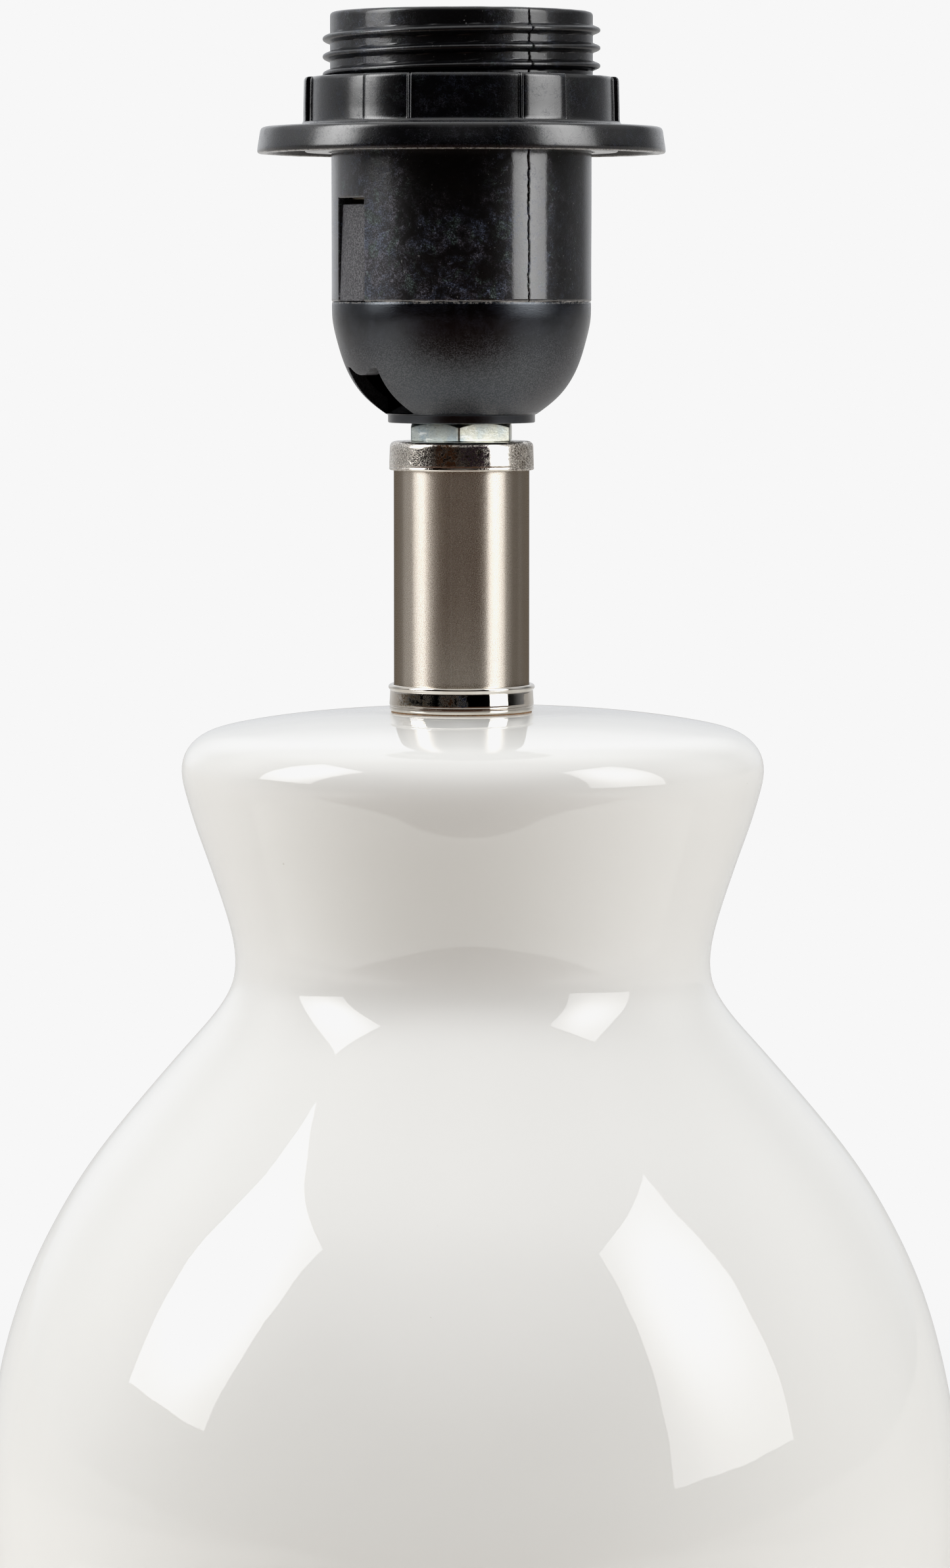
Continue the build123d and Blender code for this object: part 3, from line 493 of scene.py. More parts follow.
def bright_nickel(name, worn=0.0, ends=(), films=(), wall=(0.0, 1.0), soft=0.10):
    """Polished plate; ends are azimuths in degrees where it is worn through, films are tinted patches: tarnish, and on
    the lower ferrule also one painted reflection.
    """
    n = Nodes(name)
    vec, ang, z = n.polar(radius=0.0102)
    fine = n.noise(2600.0, 4.0, 0.75)
    blot = n.noise(420.0, 4.0, 0.7, distort=1.2)
    col = n.mix(n.remap(n.noise(260.0, 3.0), 0.3, 0.75), (0.80, 0.765, 0.71), (0.66, 0.615, 0.55))
    patch = n.math("MULTIPLY", n.remap(blot, 0.38, 0.50), worn)
    if ends:
        where = 0.05
        for az, half, weight in ends:
            d = n.math("ABSOLUTE", n.math("SUBTRACT", ang, rad(az)))
            where = n.math("ADD", where, n.remap(d, rad(half * 0.8), rad(half), weight, 0.0))
        patch = n.math("MULTIPLY", patch, where, clamp=True)
    salt = n.remap(n.noise(5200.0, 2.0, 0.7), 0.47, 0.53)
    rub = n.math("MULTIPLY", patch, salt)
    col = n.mix(rub, col, (0.10, 0.078, 0.060))
    metal = 1.0
    for az, half, weight, tone in films:
        # a tinted film inside an azimuth range, in ragged patches (tarnish, and on the lower ferrule one painted
        # reflection)
        where = n.remap(n.math("ABSOLUTE", n.math("SUBTRACT", ang, rad(az))), rad(half), rad(half * 0.4))
        ragged = n.math("MULTIPLY", n.remap(n.noise(3800.0, 3.0, 0.75), 0.5 - soft, 0.5 + soft), n.remap(n.noise(900.0, 3.0, 0.7), 0.36, 0.56))
        where = n.math("MULTIPLY", where, n.remap(z, wall[0], wall[0] + 0.0002))
        where = n.math("MULTIPLY", where, n.remap(z, wall[1], wall[1] - 0.0002))
        film = n.math("MULTIPLY", n.math("MULTIPLY", where, ragged), weight)
        col = n.mix(n.math("MULTIPLY", film, 3.0, clamp=True), col, tone)
        metal = n.math("MULTIPLY", metal, n.math("SUBTRACT", 1.0, n.math("MULTIPLY", film, 0.8)))
    r = n.math("ADD", 0.055, n.math("MULTIPLY", patch, 0.30))
    n.set(Base_Color=col, Metallic=metal, Roughness=r)
    slow = n.bump(n.noise(300.0, 2.0), 0.0003, 0.06)
    if worn:
        slow = n.bump(rub, 0.00008, 0.7, slow)
    n.set(Normal=slow)
    return n.mat


def zinc_plate():
    n = Nodes("zinc_plate")
    tint = n.noise(330.0, 3.0, 0.6, distort=0.6)
    ramp = n.mix(n.remap(tint, 0.30, 0.62), (0.47, 0.53, 0.58), (0.62, 0.62, 0.58))
    ramp = n.mix(n.math("MULTIPLY", n.remap(n.noise(1100.0, 4.0, 0.7), 0.52, 0.64), 0.35), ramp, (0.60, 0.57, 0.44))
    scuff = n.noise(1.0, 4.0, 0.75, vec=n.scaled(2600.0, 2600.0, 5200.0))
    ramp = n.mix(n.math("MULTIPLY", n.remap(scuff, 0.50, 0.62), 0.55), ramp, (0.76, 0.77, 0.73))
    ramp = n.mix(n.math("MULTIPLY", n.remap(scuff, 0.46, 0.36), 0.45), ramp, (0.24, 0.25, 0.24))
    x, y, z = n.xyz()
    # passivation tint split by side, with the left half darkened as painted shade and the right half kept light as the
    # lit side
    side = n.remap(n.math("ADD", x, n.math("MULTIPLY", n.math("SUBTRACT", tint, 0.5), 0.004)), -0.0025, -0.0008)
    shaded_left_tint = n.node("ShaderNodeMix", 2, {"data_type": "RGBA", "blend_type": "MULTIPLY"}, i0=1.0, i6=ramp, i7=(0.62, 0.68, 0.70))
    lit_right_tint = n.node("ShaderNodeMix", 2, {"data_type": "RGBA", "blend_type": "MULTIPLY"}, i0=1.0, i6=ramp, i7=(0.99, 1.0, 0.93))
    ramp = n.mix(side, shaded_left_tint, lit_right_tint)
    streak = n.remap(n.noise(1.0, 3.0, 0.7, vec=n.scaled(500.0, 500.0, 2600.0)), 0.58, 0.66)
    ramp = n.mix(n.math("MULTIPLY", streak, 0.6), ramp, (0.82, 0.84, 0.82))
    n.set(Base_Color=ramp, Metallic=0.92, Roughness=n.remap(scuff, 0.3, 0.7, 0.26, 0.46))
    n.set(Normal=n.bump(n.noise(1500.0, 3.0, 0.7), 0.00006, 0.45, n.bump(scuff, 0.00005, 0.5)))
    return n.mat


def plain_metal(name, light, dark, rough=0.3, scale=900.0, strength=0.2):
    n = Nodes(name)
    a = n.noise(scale, 4.0, 0.65)
    n.set(
        Base_Color=n.mix(n.remap(a, 0.3, 0.7), dark, light),
        Metallic=1.0,
        Roughness=n.remap(n.noise(scale * 2.3, 3.0), 0.3, 0.7, rough * 0.8, rough * 1.3),
    )
    n.set(Normal=n.bump(n.noise(scale * 4.0, 3.0), 0.00004, strength))
    return n.mat


def plain_soft(name, light, dark, rough=0.5, scale=1200.0, strength=0.3, sheen=0.0):
    n = Nodes(name)
    a = n.noise(scale, 4.0, 0.7)
    n.set(
        Base_Color=n.mix(n.remap(a, 0.3, 0.7), dark, light),
        Roughness=n.remap(a, 0.3, 0.7, rough * 0.9, min(1.0, rough * 1.15)),
    )
    if sheen:
        n.bsdf.inputs["Sheen Weight"].default_value = sheen
    n.set(Normal=n.bump(n.noise(scale * 3.0, 3.0, 0.7), 0.0001, strength))
    return n.mat


GLAZE = glaze_material()
BLACK = black_plastic("black_gloss_plastic", 1.0, skirt_film_and_painted_light=True, pale_edge_z=((269.20, 0.21),))
RING_BLACK = black_plastic("black_ring_plastic", 0.20, 0.26, 0.18, 1.64, 0.16, pale_edge_z=((290.10, 0.16),))
TONGUE = textured_plastic("black_textured_plastic")
DOME = dome_plastic("black_dome_plastic")
NICKEL = satin_nickel()
# on the lower ferrule's wall the golden-brown film on the left is a painted reflection of the left lamp; the two films
# at the front are stains
CHROME = bright_nickel("bright_nickel", films=(
    (-44.0, 24.0, 0.50, (0.150, 0.110, 0.066)), (-10.0, 10.0, 0.50, (0.105, 0.055, 0.028)), (1.0, 5.0, 0.55, (0.035, 0.048, 0.085)),
), wall=(0.2121, 0.2140), soft=0.22)
CHROME_WORN = bright_nickel(
    "bright_nickel_worn", 1.0, ((-74.0, 34.0, 0.42), (70.0, 31.0, 0.95), (170.0, 40.0, 0.6)),
    ((-12.0, 12.0, 0.85, (0.160, 0.070, 0.020)), (-8.0, 28.0, 0.35, (0.045, 0.026, 0.018)), (11.0, 15.0, 0.75, (0.060, 0.042, 0.052))),
    (0.2460, 0.2492),
)
ZINC = zinc_plate()
STEEL = plain_metal("plain_steel", (0.62, 0.62, 0.61), (0.42, 0.42, 0.42), 0.32)
SCREW_SHELL = plain_metal("screw_shell_nickel", (0.74, 0.72, 0.67), (0.56, 0.53, 0.48), 0.24)
BRASS = plain_metal("brass", (0.78, 0.60, 0.28), (0.58, 0.42, 0.17), 0.28)
BRONZE = plain_metal("spring_bronze", (0.78, 0.55, 0.32), (0.55, 0.36, 0.19), 0.26)
FELT = plain_soft("felt", (0.085, 0.083, 0.086), (0.030, 0.029, 0.031), 0.95, 1500.0, 0.9, 0.6)
WHITE_PLASTIC = plain_soft("white_plastic", (0.80, 0.785, 0.75), (0.72, 0.70, 0.66), 0.42, 500.0, 0.05)
RUBBER = plain_soft("rubber", (0.030, 0.030, 0.031), (0.014, 0.014, 0.015), 0.7)
FIBRE = plain_soft("fibre", (0.30, 0.18, 0.09), (0.16, 0.09, 0.045), 0.75, 1800.0)
INSERT = plain_soft("insert_plastic", (0.52, 0.49, 0.42), (0.42, 0.39, 0.33), 0.5, 700.0, 0.2)

# ------------------------------------------------------------------ ceramic body
def ceramic():
    outer = spline(BODY_OUTLINE, 300, start=(1.0, 0.0), end=(-0.387, -0.922))
    foot = spline([outer[-1], (41.3, 2.45), (39.9, 2.0)], 8, start=(-0.387, -0.922), end=(-1.0, 0.0))[1:]
    o = np.array(outer[6:-6:6])
    d = np.gradient(o, axis=0)
    d /= np.hypot(d[:, 0], d[:, 1])[:, None]
    inner = [(r + dd[1] * 5.0, z - dd[0] * 5.0) for (r, z), dd in zip(o, d)]
    inner = [q for q in inner if 9.4 < q[1] < 199.5 and q[0] > 0]
    top_in = [(26.0, 204.1), (19.0, 205.5), (7.6, 205.5)]
    down = outer + foot + [(36.8, 2.0), (36.0, 3.2), (36.0, 7.4)] + inner[::-1] + top_in + [(7.6, 210.7), (7.9, 211.0)]
    profile = down[::-1]
    # a cast and hand-sponged wall is never quite round

    def bend(r, z, t):
        if z < 3.5 or z > 210.95 or (r < 8.5):
            return r, z
        x, y = r * math.cos(t), r * math.sin(t)
        w = 0.10 * n3(x / 34, y / 34, z / 34, 3.1) + 0.035 * n3(x / 13, y / 13, z / 11, 8.4)
        w *= smooth(3.5, 12.0, z)
        side = smooth(209.5, 204.0, z)
        return r + w * side, z + w * 0.5 * (1 - side)

    ob = lathe("ceramic_body_v", profile, "root", GLAZE, ("ceramic_body",), 400, 0.0, 40.0, bend)
    # the cord's way in at the back, square to the wall
    bore(ob, (0.0, 47.3, 16.0), (0.0, math.cos(rad(21.5)), -math.sin(rad(21.5))), 5.2, 10.0, 4.0)


ceramic()


# ------------------------------------------------------------------ holder shell
def seam_offset(z, seed):
    """How far the mould line strays sideways at a height, in mm."""
    a = 0.12 * n3(0.0, seed, z * 0.7) + 0.07 * n3(4.0, seed, z * 2.3)
    step = 0.055 * round(2.4 * n3(9.0, seed, z * 1.9)) + 0.04 * n3(9.0, seed, z * 6.0)
    return a + step


def thread_height(theta_deg, z):
    """Height of the ring thread over the barrel's root at an angle and height."""
    start = T_END - 360 * T_TURNS
    u = (theta_deg - start) / 360.0
    k = round((z - T_START) / PITCH - u)
    turn = u + k
    if turn < -0.03 or turn > T_TURNS + 0.01:
        return 0.0
    dz = z - (T_START + PITCH * turn)
    x = abs(dz) / 0.70
    if x >= 1:
        return 0.0
    ends = smooth(-0.03, 0.04, turn) * (1 - smooth(T_TURNS - 0.07, T_TURNS + 0.01, turn))
    crest = (1 - x**2.6) ** 1.15
    return (CREST_R - BARREL_R) * crest * ends


def azimuths(base, fine):
    """Sorted column azimuths: an even ring plus clusters where detail needs them."""
    cols = set(round(a, 4) for a in np.arange(-180, 180, base))
    for centre, width, step in fine:
        cols = {a for a in cols if abs((a - centre + 180) % 360 - 180) > width + step * 0.6}
        for d in np.arange(-width, width + 1e-6, step):
            cols.add(round((centre + d + 180) % 360 - 180, 4))
    return sorted(cols)


def holder_shell():
    half = WINDOW_ARC / 2
    cols = azimuths(1.6, [(SEAM_AZ, 2.2, 0.14), (SEAM_AZ - 180, 2.2, 0.14)])
    edges = []
    for c in (LATCH_AZ, LATCH_AZ + 180):
        for s in (-1, 1):
            e = c + s * half
            cols = [a for a in cols if abs((a - e + 180) % 360 - 180) > 0.6]
            cols += [e, e + s * 0.45]
            edges.append(e)
    cols = sorted(((a + 180) % 360 - 180) for a in cols)
    nc = len(cols)

    def near(a, b):
        return abs((a - b + 180) % 360 - 180) < 0.02

    # outside, bottom to top
    zs_low = [JOINT_Z, JOINT_Z + 0.08, JOINT_Z + 0.22] + list(np.arange(269.6, 283.4, 0.20)) + [283.55, WINDOW_TOP, 283.85]
    zs_mid = list(np.arange(284.05, 290.9, 0.16))
    zs_thr = list(np.arange(290.95, 309.2, 0.125))
    rows = [("o", z) for z in zs_low + zs_mid + zs_thr]
    rows += [("e", (18.55, 309.36)), ("e", (18.50, 309.58)), ("e", (18.36, 309.76)), ("e", (18.12, 309.86))]
    rows += [("e", (17.2, 309.86)), ("e", (16.15, 309.86)), ("e", (15.80, 309.74)), ("e", (15.62, 309.45)), ("e", (15.60, 309.0))]
    rows += [("e", (15.6, 303.0)), ("e", (15.6, 300.0)), ("e", (16.4, 300.0)), ("e", (16.4, 292.0)), ("e", (16.4, 286.0))]
    inner_from = len(rows)
    rows += [("i", z) for z in zs_low[::-1]]
    nr = len(rows)
    n_low = len(zs_low)

    def in_window(j):
        a, b = cols[j], cols[(j + 1) % nc]
        m = a + ((b - a + 180) % 360 - 180) / 2
        return any(abs((m - c + 180) % 360 - 180) < half for c in (LATCH_AZ, LATCH_AZ + 180))

    verts = []
    for i, (kind, v) in enumerate(rows):
        for a in cols:
            th = rad(a - 90)
            if kind == "o":
                z = v
                r = SKIRT_R + (BARREL_R - SKIRT_R) * smooth(290.3, 291.4, z)
                if z < JOINT_Z + 0.2:
                    r -= 0.16 * (1 - (z - JOINT_Z) / 0.2)
                if z > 290.3:
                    r += thread_height(a - 90, z)
                # mould line on both sides
                for c, seed in ((SEAM_AZ, 1.7), (SEAM_AZ - 180, 6.2)):
                    s = rad((a - c + 180) % 360 - 180) * SKIRT_R
                    if abs(s) < 1.2:
                        q = s - seam_offset(z, seed)
                        wide = 0.050 + 0.050 * smooth(280.0, 285.5, z) * (0.8 + 1.0 * n3(7.0, seed, z * 1.7))
                        r -= 0.17 * math.exp(-((q / wide) ** 2))
                        r += 0.035 * math.exp(-(((q - 0.16) / 0.08) ** 2))
                # sink marks and a slightly uneven lower edge with thin flash
                x, y = r * math.cos(th), r * math.sin(th)
                r += 0.022 * n3(x / 7, y / 7, z / 9, 2.0)
                zz = z
                if z < JOINT_Z + 0.3:
                    zz += 0.11 * n3(x / 1.6, y / 1.6, 0.0, 5.0) * smooth(JOINT_Z + 0.3, JOINT_Z, z) + 0.03
                    r += 0.05 * max(0.0, n3(x / 0.9, y / 0.9, 1.0, 7.0)) * smooth(JOINT_Z + 0.3, JOINT_Z, z)
                if z <= WINDOW_TOP and any(near(a, e) for e in edges):
                    r -= 0.12
                if abs(z - WINDOW_TOP) < 1e-6 and any(
                    abs((a - c + 180) % 360 - 180) < half + 0.02 for c in (LATCH_AZ, LATCH_AZ + 180)
                ):
                    r -= 0.10
                z = zz
            elif kind == "e":
                r, z = v
                if i < inner_from and r > 18.0:
                    for c, seed in ((SEAM_AZ, 1.7), (SEAM_AZ - 180, 6.2)):
                        s = rad((a - c + 180) % 360 - 180) * SKIRT_R
                        if abs(s) < 1.2:
                            q = s - seam_offset(z, seed)
                            r -= 0.16 * math.exp(-((q / 0.075) ** 2))
                z += 0.03 * n3(r * math.cos(th) / 2.2, r * math.sin(th) / 2.2, 0.0, 4.0) if z > 309.7 else 0.0
            else:
                r, z = 16.4, v
            verts.append((NX + r * math.cos(th), r * math.sin(th), z))

    i_top = zs_low.index(WINDOW_TOP)

    def skip(i, j):
        if not in_window(j):
            return False
        if i < i_top:
            return True
        k = i - inner_from
        if k >= 0 and k >= n_low - 1 - i_top:
            return True
        return False

    faces = ring_faces(nr, nc, True, skip)

    def mate(i):  # inner row at the same height as outer row i
        return inner_from + n_low - 1 - i

    for j in range(nc):
        m = (j + 1) % nc
        if in_window(j):
            faces.append((i_top * nc + j, i_top * nc + m, mate(i_top) * nc + m, mate(i_top) * nc + j)[::-1])
            prev, nxt = (j - 1) % nc, m
            if not in_window(prev):
                for i in range(i_top):
                    faces.append((i * nc + j, (i + 1) * nc + j, mate(i + 1) * nc + j, mate(i) * nc + j))
            if not in_window(nxt):
                for i in range(i_top):
                    faces.append((i * nc + nxt, mate(i) * nc + nxt, mate(i + 1) * nc + nxt, (i + 1) * nc + nxt))
    return link("holder_shell_v", verts, faces, "root", BLACK, ("holder_shell",), 38.0)


holder_shell()


# ------------------------------------------------------------------ shade ring
def shade_ring():
    arcs = 41.0 / 2
    edges = []
    for k in range(6):
        edges += [1.5 + 60 * k - arcs, 1.5 + 60 * k + arcs]
    cols = azimuths(1.8, [(e, 0.84, 0.07) for e in edges])
    nc = len(cols)

    def step(s):
        """Share of the recess depth at s mm inside its edge: fillet, steep wall, fillet."""
        if s <= -0.20:
            return 0.085 * math.exp(-(((s + 0.30) / 0.055) ** 2))
        if s < -0.02:
            return (0.20 - math.sqrt(0.04 - (s + 0.20) ** 2)) / 0.70
        if s < 0.10:
            return (0.113 + (s + 0.02) / 0.12 * 0.477) / 0.70
        if s < 0.24:
            return (0.70 - 0.11 * ((0.24 - s) / 0.14) ** 2) / 0.70
        return 1.0

    def recess(a):
        f = 0.0
        for k in range(6):
            d = abs((a - 1.5 - 60 * k + 180) % 360 - 180)
            f = max(f, step(rad(arcs - d) * 22.3))
        return f

    H, L = 290.23, 290.03
    prof = [
        (18.87, H + 0.05, 0), (18.95, H, 0), (21.95, H, 0), (22.12, H + 0.15, 0), (22.12, 291.4, 0), (22.25, 291.85, 0),
        (22.9, 292.1, 0), (25.0, 292.0, 0), (26.9, 291.85, 0), (27.2, 291.6, 0), (27.55, L + 0.12, 0), (27.68, L, 0),
        (28.55, L, 0), (28.76, L + 0.08, 0), (28.86, L + 0.3, 0), (28.82, 290.9, 0), (28.66, 291.9, 0), (28.50, 292.9, 0), (28.43, 293.25, 0),
        (28.33, 293.5, 0), (28.12, 293.68, 0), (27.85, 293.76, 0), (26.0, 293.83, 0), (23.6, 293.93, 0), (22.95, 293.98, 0),
        (22.72, 294.10, 0), (22.50, 294.30, 0), (22.45, 294.42, 0), (22.40, 294.56, 1), (22.36, 294.85, 1), (22.34, 296.5, 1), (22.29, 298.6, 1), (22.25, 300.15, 1),
        (22.22, 300.38, 1), (22.12, 300.58, 1), (21.98, 300.70, 0.93), (21.84, 300.74, 0.86), (20.9, 300.74, 0.1), (20.3, 300.74, 0), (20.08, 300.66, 0), (19.95, 300.42, 0),
        (19.95, 297.0, 0), (19.95, 291.0, 0), (19.87, 290.88, 0), (18.95, 290.88, 0), (18.87, 290.8, 0),
    ]
    verts = []
    for r0, z0, w in prof:
        for a in cols:
            th = rad(a - 90)
            r, z = r0, z0
            if w:
                r -= 0.70 * recess(a) * w
            x, y = r * math.cos(th), r * math.sin(th)
            r += 0.02 * n3(x / 8, y / 8, z / 6, 11.0)
            if z0 > 300.6:
                z += 0.03 * n3(x / 2, y / 2, 0, 12.0)
            if z0 < 290.5 and r0 > 27.4:
                z += 0.04 * n3(x / 1.5, y / 1.5, 0, 13.0)
            verts.append((NX + r * math.cos(th), r * math.sin(th), z))
    return link(
        "shade_ring_v", verts, ring_faces(len(prof), nc), "shade_ring_body", RING_BLACK, ("shade_ring",), 30.0
    )


shade_ring()


# ------------------------------------------------------------------ dome
DOME_OUT = [
    (18.36, 269.13), (18.36, 268.2), (18.335, 267.3), (18.25, 266.4), (18.03, 265.2), (17.6, 263.5), (17.07, 261.67),
    (16.38, 259.81), (15.42, 257.95), (14.03, 256.09), (12.05, 254.3), (10.69, 253.3),
]
DOME_IN = [(16.35, 269.13), (16.2, 267.0), (15.9, 265.2), (15.45, 263.4), (14.4, 260.1), (12.8, 257.5), (10.4, 255.5)]


def at_height(table, z):
    t = sorted((zz, r) for r, zz in table)
    return float(np.interp(z, [q[0] for q in t], [q[1] for q in t]))


def dome():
    fine_out = spline(DOME_OUT, 160)
    fine_in = spline(DOME_IN, 120)
    # columns: even steps of sideways distance near the notch, then even angles
    W, w2 = 8.0, 4.4
    us = sorted(set([-w2, w2] + [round(v, 3) for v in np.arange(-W, W + 0.01, 0.4)] + [-w2 - 0.14, w2 + 0.14, -w2 - 0.3, w2 + 0.3]))
    us = [u for u in us if not (0.02 < abs(abs(u) - w2) < 0.13)]
    n_rest = 150
    nu = len(us)
    nc = nu + n_rest
    top_row_z = 259.95
    lo = 253.42

    def theta(r, j):
        if j < nu:
            return rad(SLOT_AZ - 90) + math.asin(us[j] / r)
        a = math.asin(W / r)
        f = (j - nu + 1) / (n_rest + 1)
        return rad(SLOT_AZ - 90) + a + f * (2 * math.pi - 2 * a)

    def notch_top(u):
        # the small hanging tab at the middle of the notch's top edge
        if abs(u) >= 3.0:
            return top_row_z
        return top_row_z - 1.05 * (1 - (u / 3.0) ** 2) ** 0.75

    z_rows = [lo] + list(np.arange(lo + 0.35, top_row_z - 0.2, 0.32)) + [top_row_z, top_row_z + 0.14]
    z_rows += list(np.arange(top_row_z + 0.4, 269.0, 0.4)) + [268.95, 269.13]
    it = z_rows.index(top_row_z)

    def row_z(z, u):
        # rows slide down over the tab so that one of them follows its edge
        if u is None or abs(u) >= 3.0:
            return z
        drop = top_row_z - notch_top(u)
        if z <= top_row_z:
            return z - drop * smooth(lo + 1.5, top_row_z, z) ** 1.0 * ((z - lo) / (top_row_z - lo))
        return z - drop * (1 - smooth(top_row_z, top_row_z + 2.6, z))

    verts, faces = [], []
    rows_o, rows_i = [], []

    def add(points):
        first = len(verts)
        verts.extend(points)
        return first

    for i, z in enumerate(z_rows):
        pts_o, pts_i = [], []
        for j in range(nc):
            u = us[j] if j < nu else None
            zz = row_z(z, u)
            ro = at_height(fine_out, zz)
            ri = at_height(fine_in, max(zz, 255.55))
            if zz > 268.9:
                ro -= 0.06 * smooth(268.9, 269.13, zz)
            if u is not None:
                if i <= it and abs(abs(u) - w2) < 0.01:
                    ro -= 0.10
                if i == it and abs(u) < w2:
                    ro -= 0.09
            th = theta(ro, j)
            x, y = ro * math.cos(th), ro * math.sin(th)
            ro += 0.018 * n3(x / 6, y / 6, zz / 6, 21.0)
            pts_o.append((NX + ro * math.cos(th), ro * math.sin(th), zz))
            ti = theta(max(ri, 8.6), j)
            pts_i.append((NX + ri * math.cos(ti), ri * math.sin(ti), zz))
        rows_o.append(add(pts_o))
        rows_i.append(add(pts_i))

    def in_notch(j):
        return j < nu - 1 and us[j] >= -w2 - 0.001 and us[j + 1] <= w2 + 0.001

    for i in range(len(z_rows) - 1):
        for j in range(nc):
            m = (j + 1) % nc
            if in_notch(j) and i < it:
                continue
            a, b = rows_o[i], rows_o[i + 1]
            faces.append((a + j, a + m, b + m, b + j))
            a, b = rows_i[i], rows_i[i + 1]
            faces.append((a + m, a + j, b + j, b + m))
    # rim at the joint
    a, b = rows_o[-1], rows_i[-1]
    for j in range(nc):
        m = (j + 1) % nc
        faces.append((a + j, a + m, b + m, b + j))
    # notch sides and top
    jl, jr = us.index(-w2), us.index(w2)
    for i in range(it):
        o0, o1, i0, i1 = rows_o[i], rows_o[i + 1], rows_i[i], rows_i[i + 1]
        faces.append((o0 + jl, o1 + jl, i1 + jl, i0 + jl))
        faces.append((o0 + jr, i0 + jr, i1 + jr, o1 + jr))
    for j in range(jl, jr):
        faces.append((rows_o[it] + j, rows_i[it] + j, rows_i[it] + j + 1, rows_o[it] + j + 1))
    # lip: a thin disc under the dome with its own crisp edge
    lip = [(at_height(fine_out, lo), lo), (10.74, 253.34), (10.48, 253.22), (10.44, 253.1), (10.44, 252.26), (10.38, 252.14), (10.25, 252.1), (5.0, 252.1)]
    prev = rows_o[0]
    for r, z in lip[1:]:
        pts = []
        for j in range(nc):
            th = theta(max(r, 8.6), j)
            pts.append((NX + r * math.cos(th), r * math.sin(th), z))
        cur = add(pts)
        for j in range(nc):
            m = (j + 1) % nc
            faces.append((cur + j, cur + m, prev + m, prev + j))
        prev = cur
    # floor inside, boss round the rod, and back up to the wall
    for r, z in [(4.95, 252.1), (4.95, 262.2), (5.2, 262.4), (7.4, 262.4), (7.6, 262.2), (7.6, 255.0)]:
        pts = []
        for j in range(nc):
            th = theta(8.6, j)
            pts.append((NX + r * math.cos(th), r * math.sin(th), z))
        cur = add(pts)
        for j in range(nc):
            m = (j + 1) % nc
            faces.append((cur + j, cur + m, prev + m, prev + j))
        prev = cur
    cur = rows_i[0]
    for j in range(nc):
        m = (j + 1) % nc
        faces.append((cur + j, cur + m, prev + m, prev + j))
    a, b = rows_o[0], rows_i[0]
    for j in range(jl, jr):
        faces.append((a + j, a + j + 1, b + j + 1, b + j))
    ob = link("holder_dome_v", verts, faces, "root", DOME, ("holder_dome",), 36.0)
    return ob


dome()

# the register that stands up inside the skirt, with gaps for the tongues
def register():
    verts, faces = [], []
    for c in (31.3, 211.3):
        azs = np.linspace(c - 74, c + 74, 60)
        first = len(verts)
        for r, z in ((14.7, 267.0), (16.2, 267.0), (16.2, 274.2), (16.0, 274.4), (14.9, 274.4), (14.7, 274.2)):
            for a in azs:
                th = rad(a - 90)
                verts.append((NX + r * math.cos(th), r * math.sin(th), z))
        n = len(azs)
        for i in range(6):
            k = (i + 1) % 6
            for j in range(n - 1):
                faces.append((first + i * n + j, first + i * n + j + 1, first + k * n + j + 1, first + k * n + j))
        faces.append(tuple(first + i * n for i in range(6))[::-1])
        faces.append(tuple(first + i * n + n - 1 for i in range(6)))
    return link("holder_dome_register", verts, faces, "root", DOME)


register()


# ------------------------------------------------------------------ latch tongues
def tongue(name, node, body, az):
    half = SKIRT_R * math.sin(rad(WINDOW_ARC / 2))
    z0, z1 = 269.27, 282.8
    lean = 0.52
    lo, hi = -half + 0.15, half - 0.13
    us = [lo, lo + 0.12] + list(np.linspace(lo + 0.35, hi - 0.35, 15)) + [hi - 0.12, hi]
    zs = [z0, z0 + 0.12] + list(np.linspace(z0 + 0.5, z1 - 0.5, 24)) + [z1 - 0.12, z1]
    nu, nz = len(us), len(zs)
    verts, faces = [], []
    for side, base in (("o", 18.3), ("i", 16.5)):
        for i, z in enumerate(zs):
            for j, u in enumerate(us):
                r = base - lean * (z - z0) / (z1 - z0)
                edge = 0.10 if (i in (0, nz - 1) or j in (0, nu - 1)) else 0.0
                r += -edge if side == "o" else edge
                th = rad(az - 90) + math.asin(u / r)
                verts.append((NX + r * math.cos(th), r * math.sin(th), z))
    off = nu * nz
    for i in range(nz - 1):
        for j in range(nu - 1):
            a, b, c, d = i * nu + j, i * nu + j + 1, (i + 1) * nu + j + 1, (i + 1) * nu + j
            faces.append((a, b, c, d))
            faces.append((off + b, off + a, off + d, off + c))
    for j in range(nu - 1):
        a, b = j, j + 1
        faces.append((b, a, off + a, off + b))
        a, b = (nz - 1) * nu + j, (nz - 1) * nu + j + 1
        faces.append((a, b, off + b, off + a))
    for i in range(nz - 1):
        a, d = i * nu, (i + 1) * nu
        faces.append((a, d, off + d, off + a))
        a, d = i * nu + nu - 1, (i + 1) * nu + nu - 1
        faces.append((d, a, off + a, off + d))
    return link(name, verts, faces, body, TONGUE, (node,), 40.0)


tongue("latch_tongue_front", "latch_tab_front", "latch_front_body", LATCH_AZ)
tongue("latch_tongue_rear", "latch_tab_rear", "latch_rear_body", LATCH_AZ + 180)

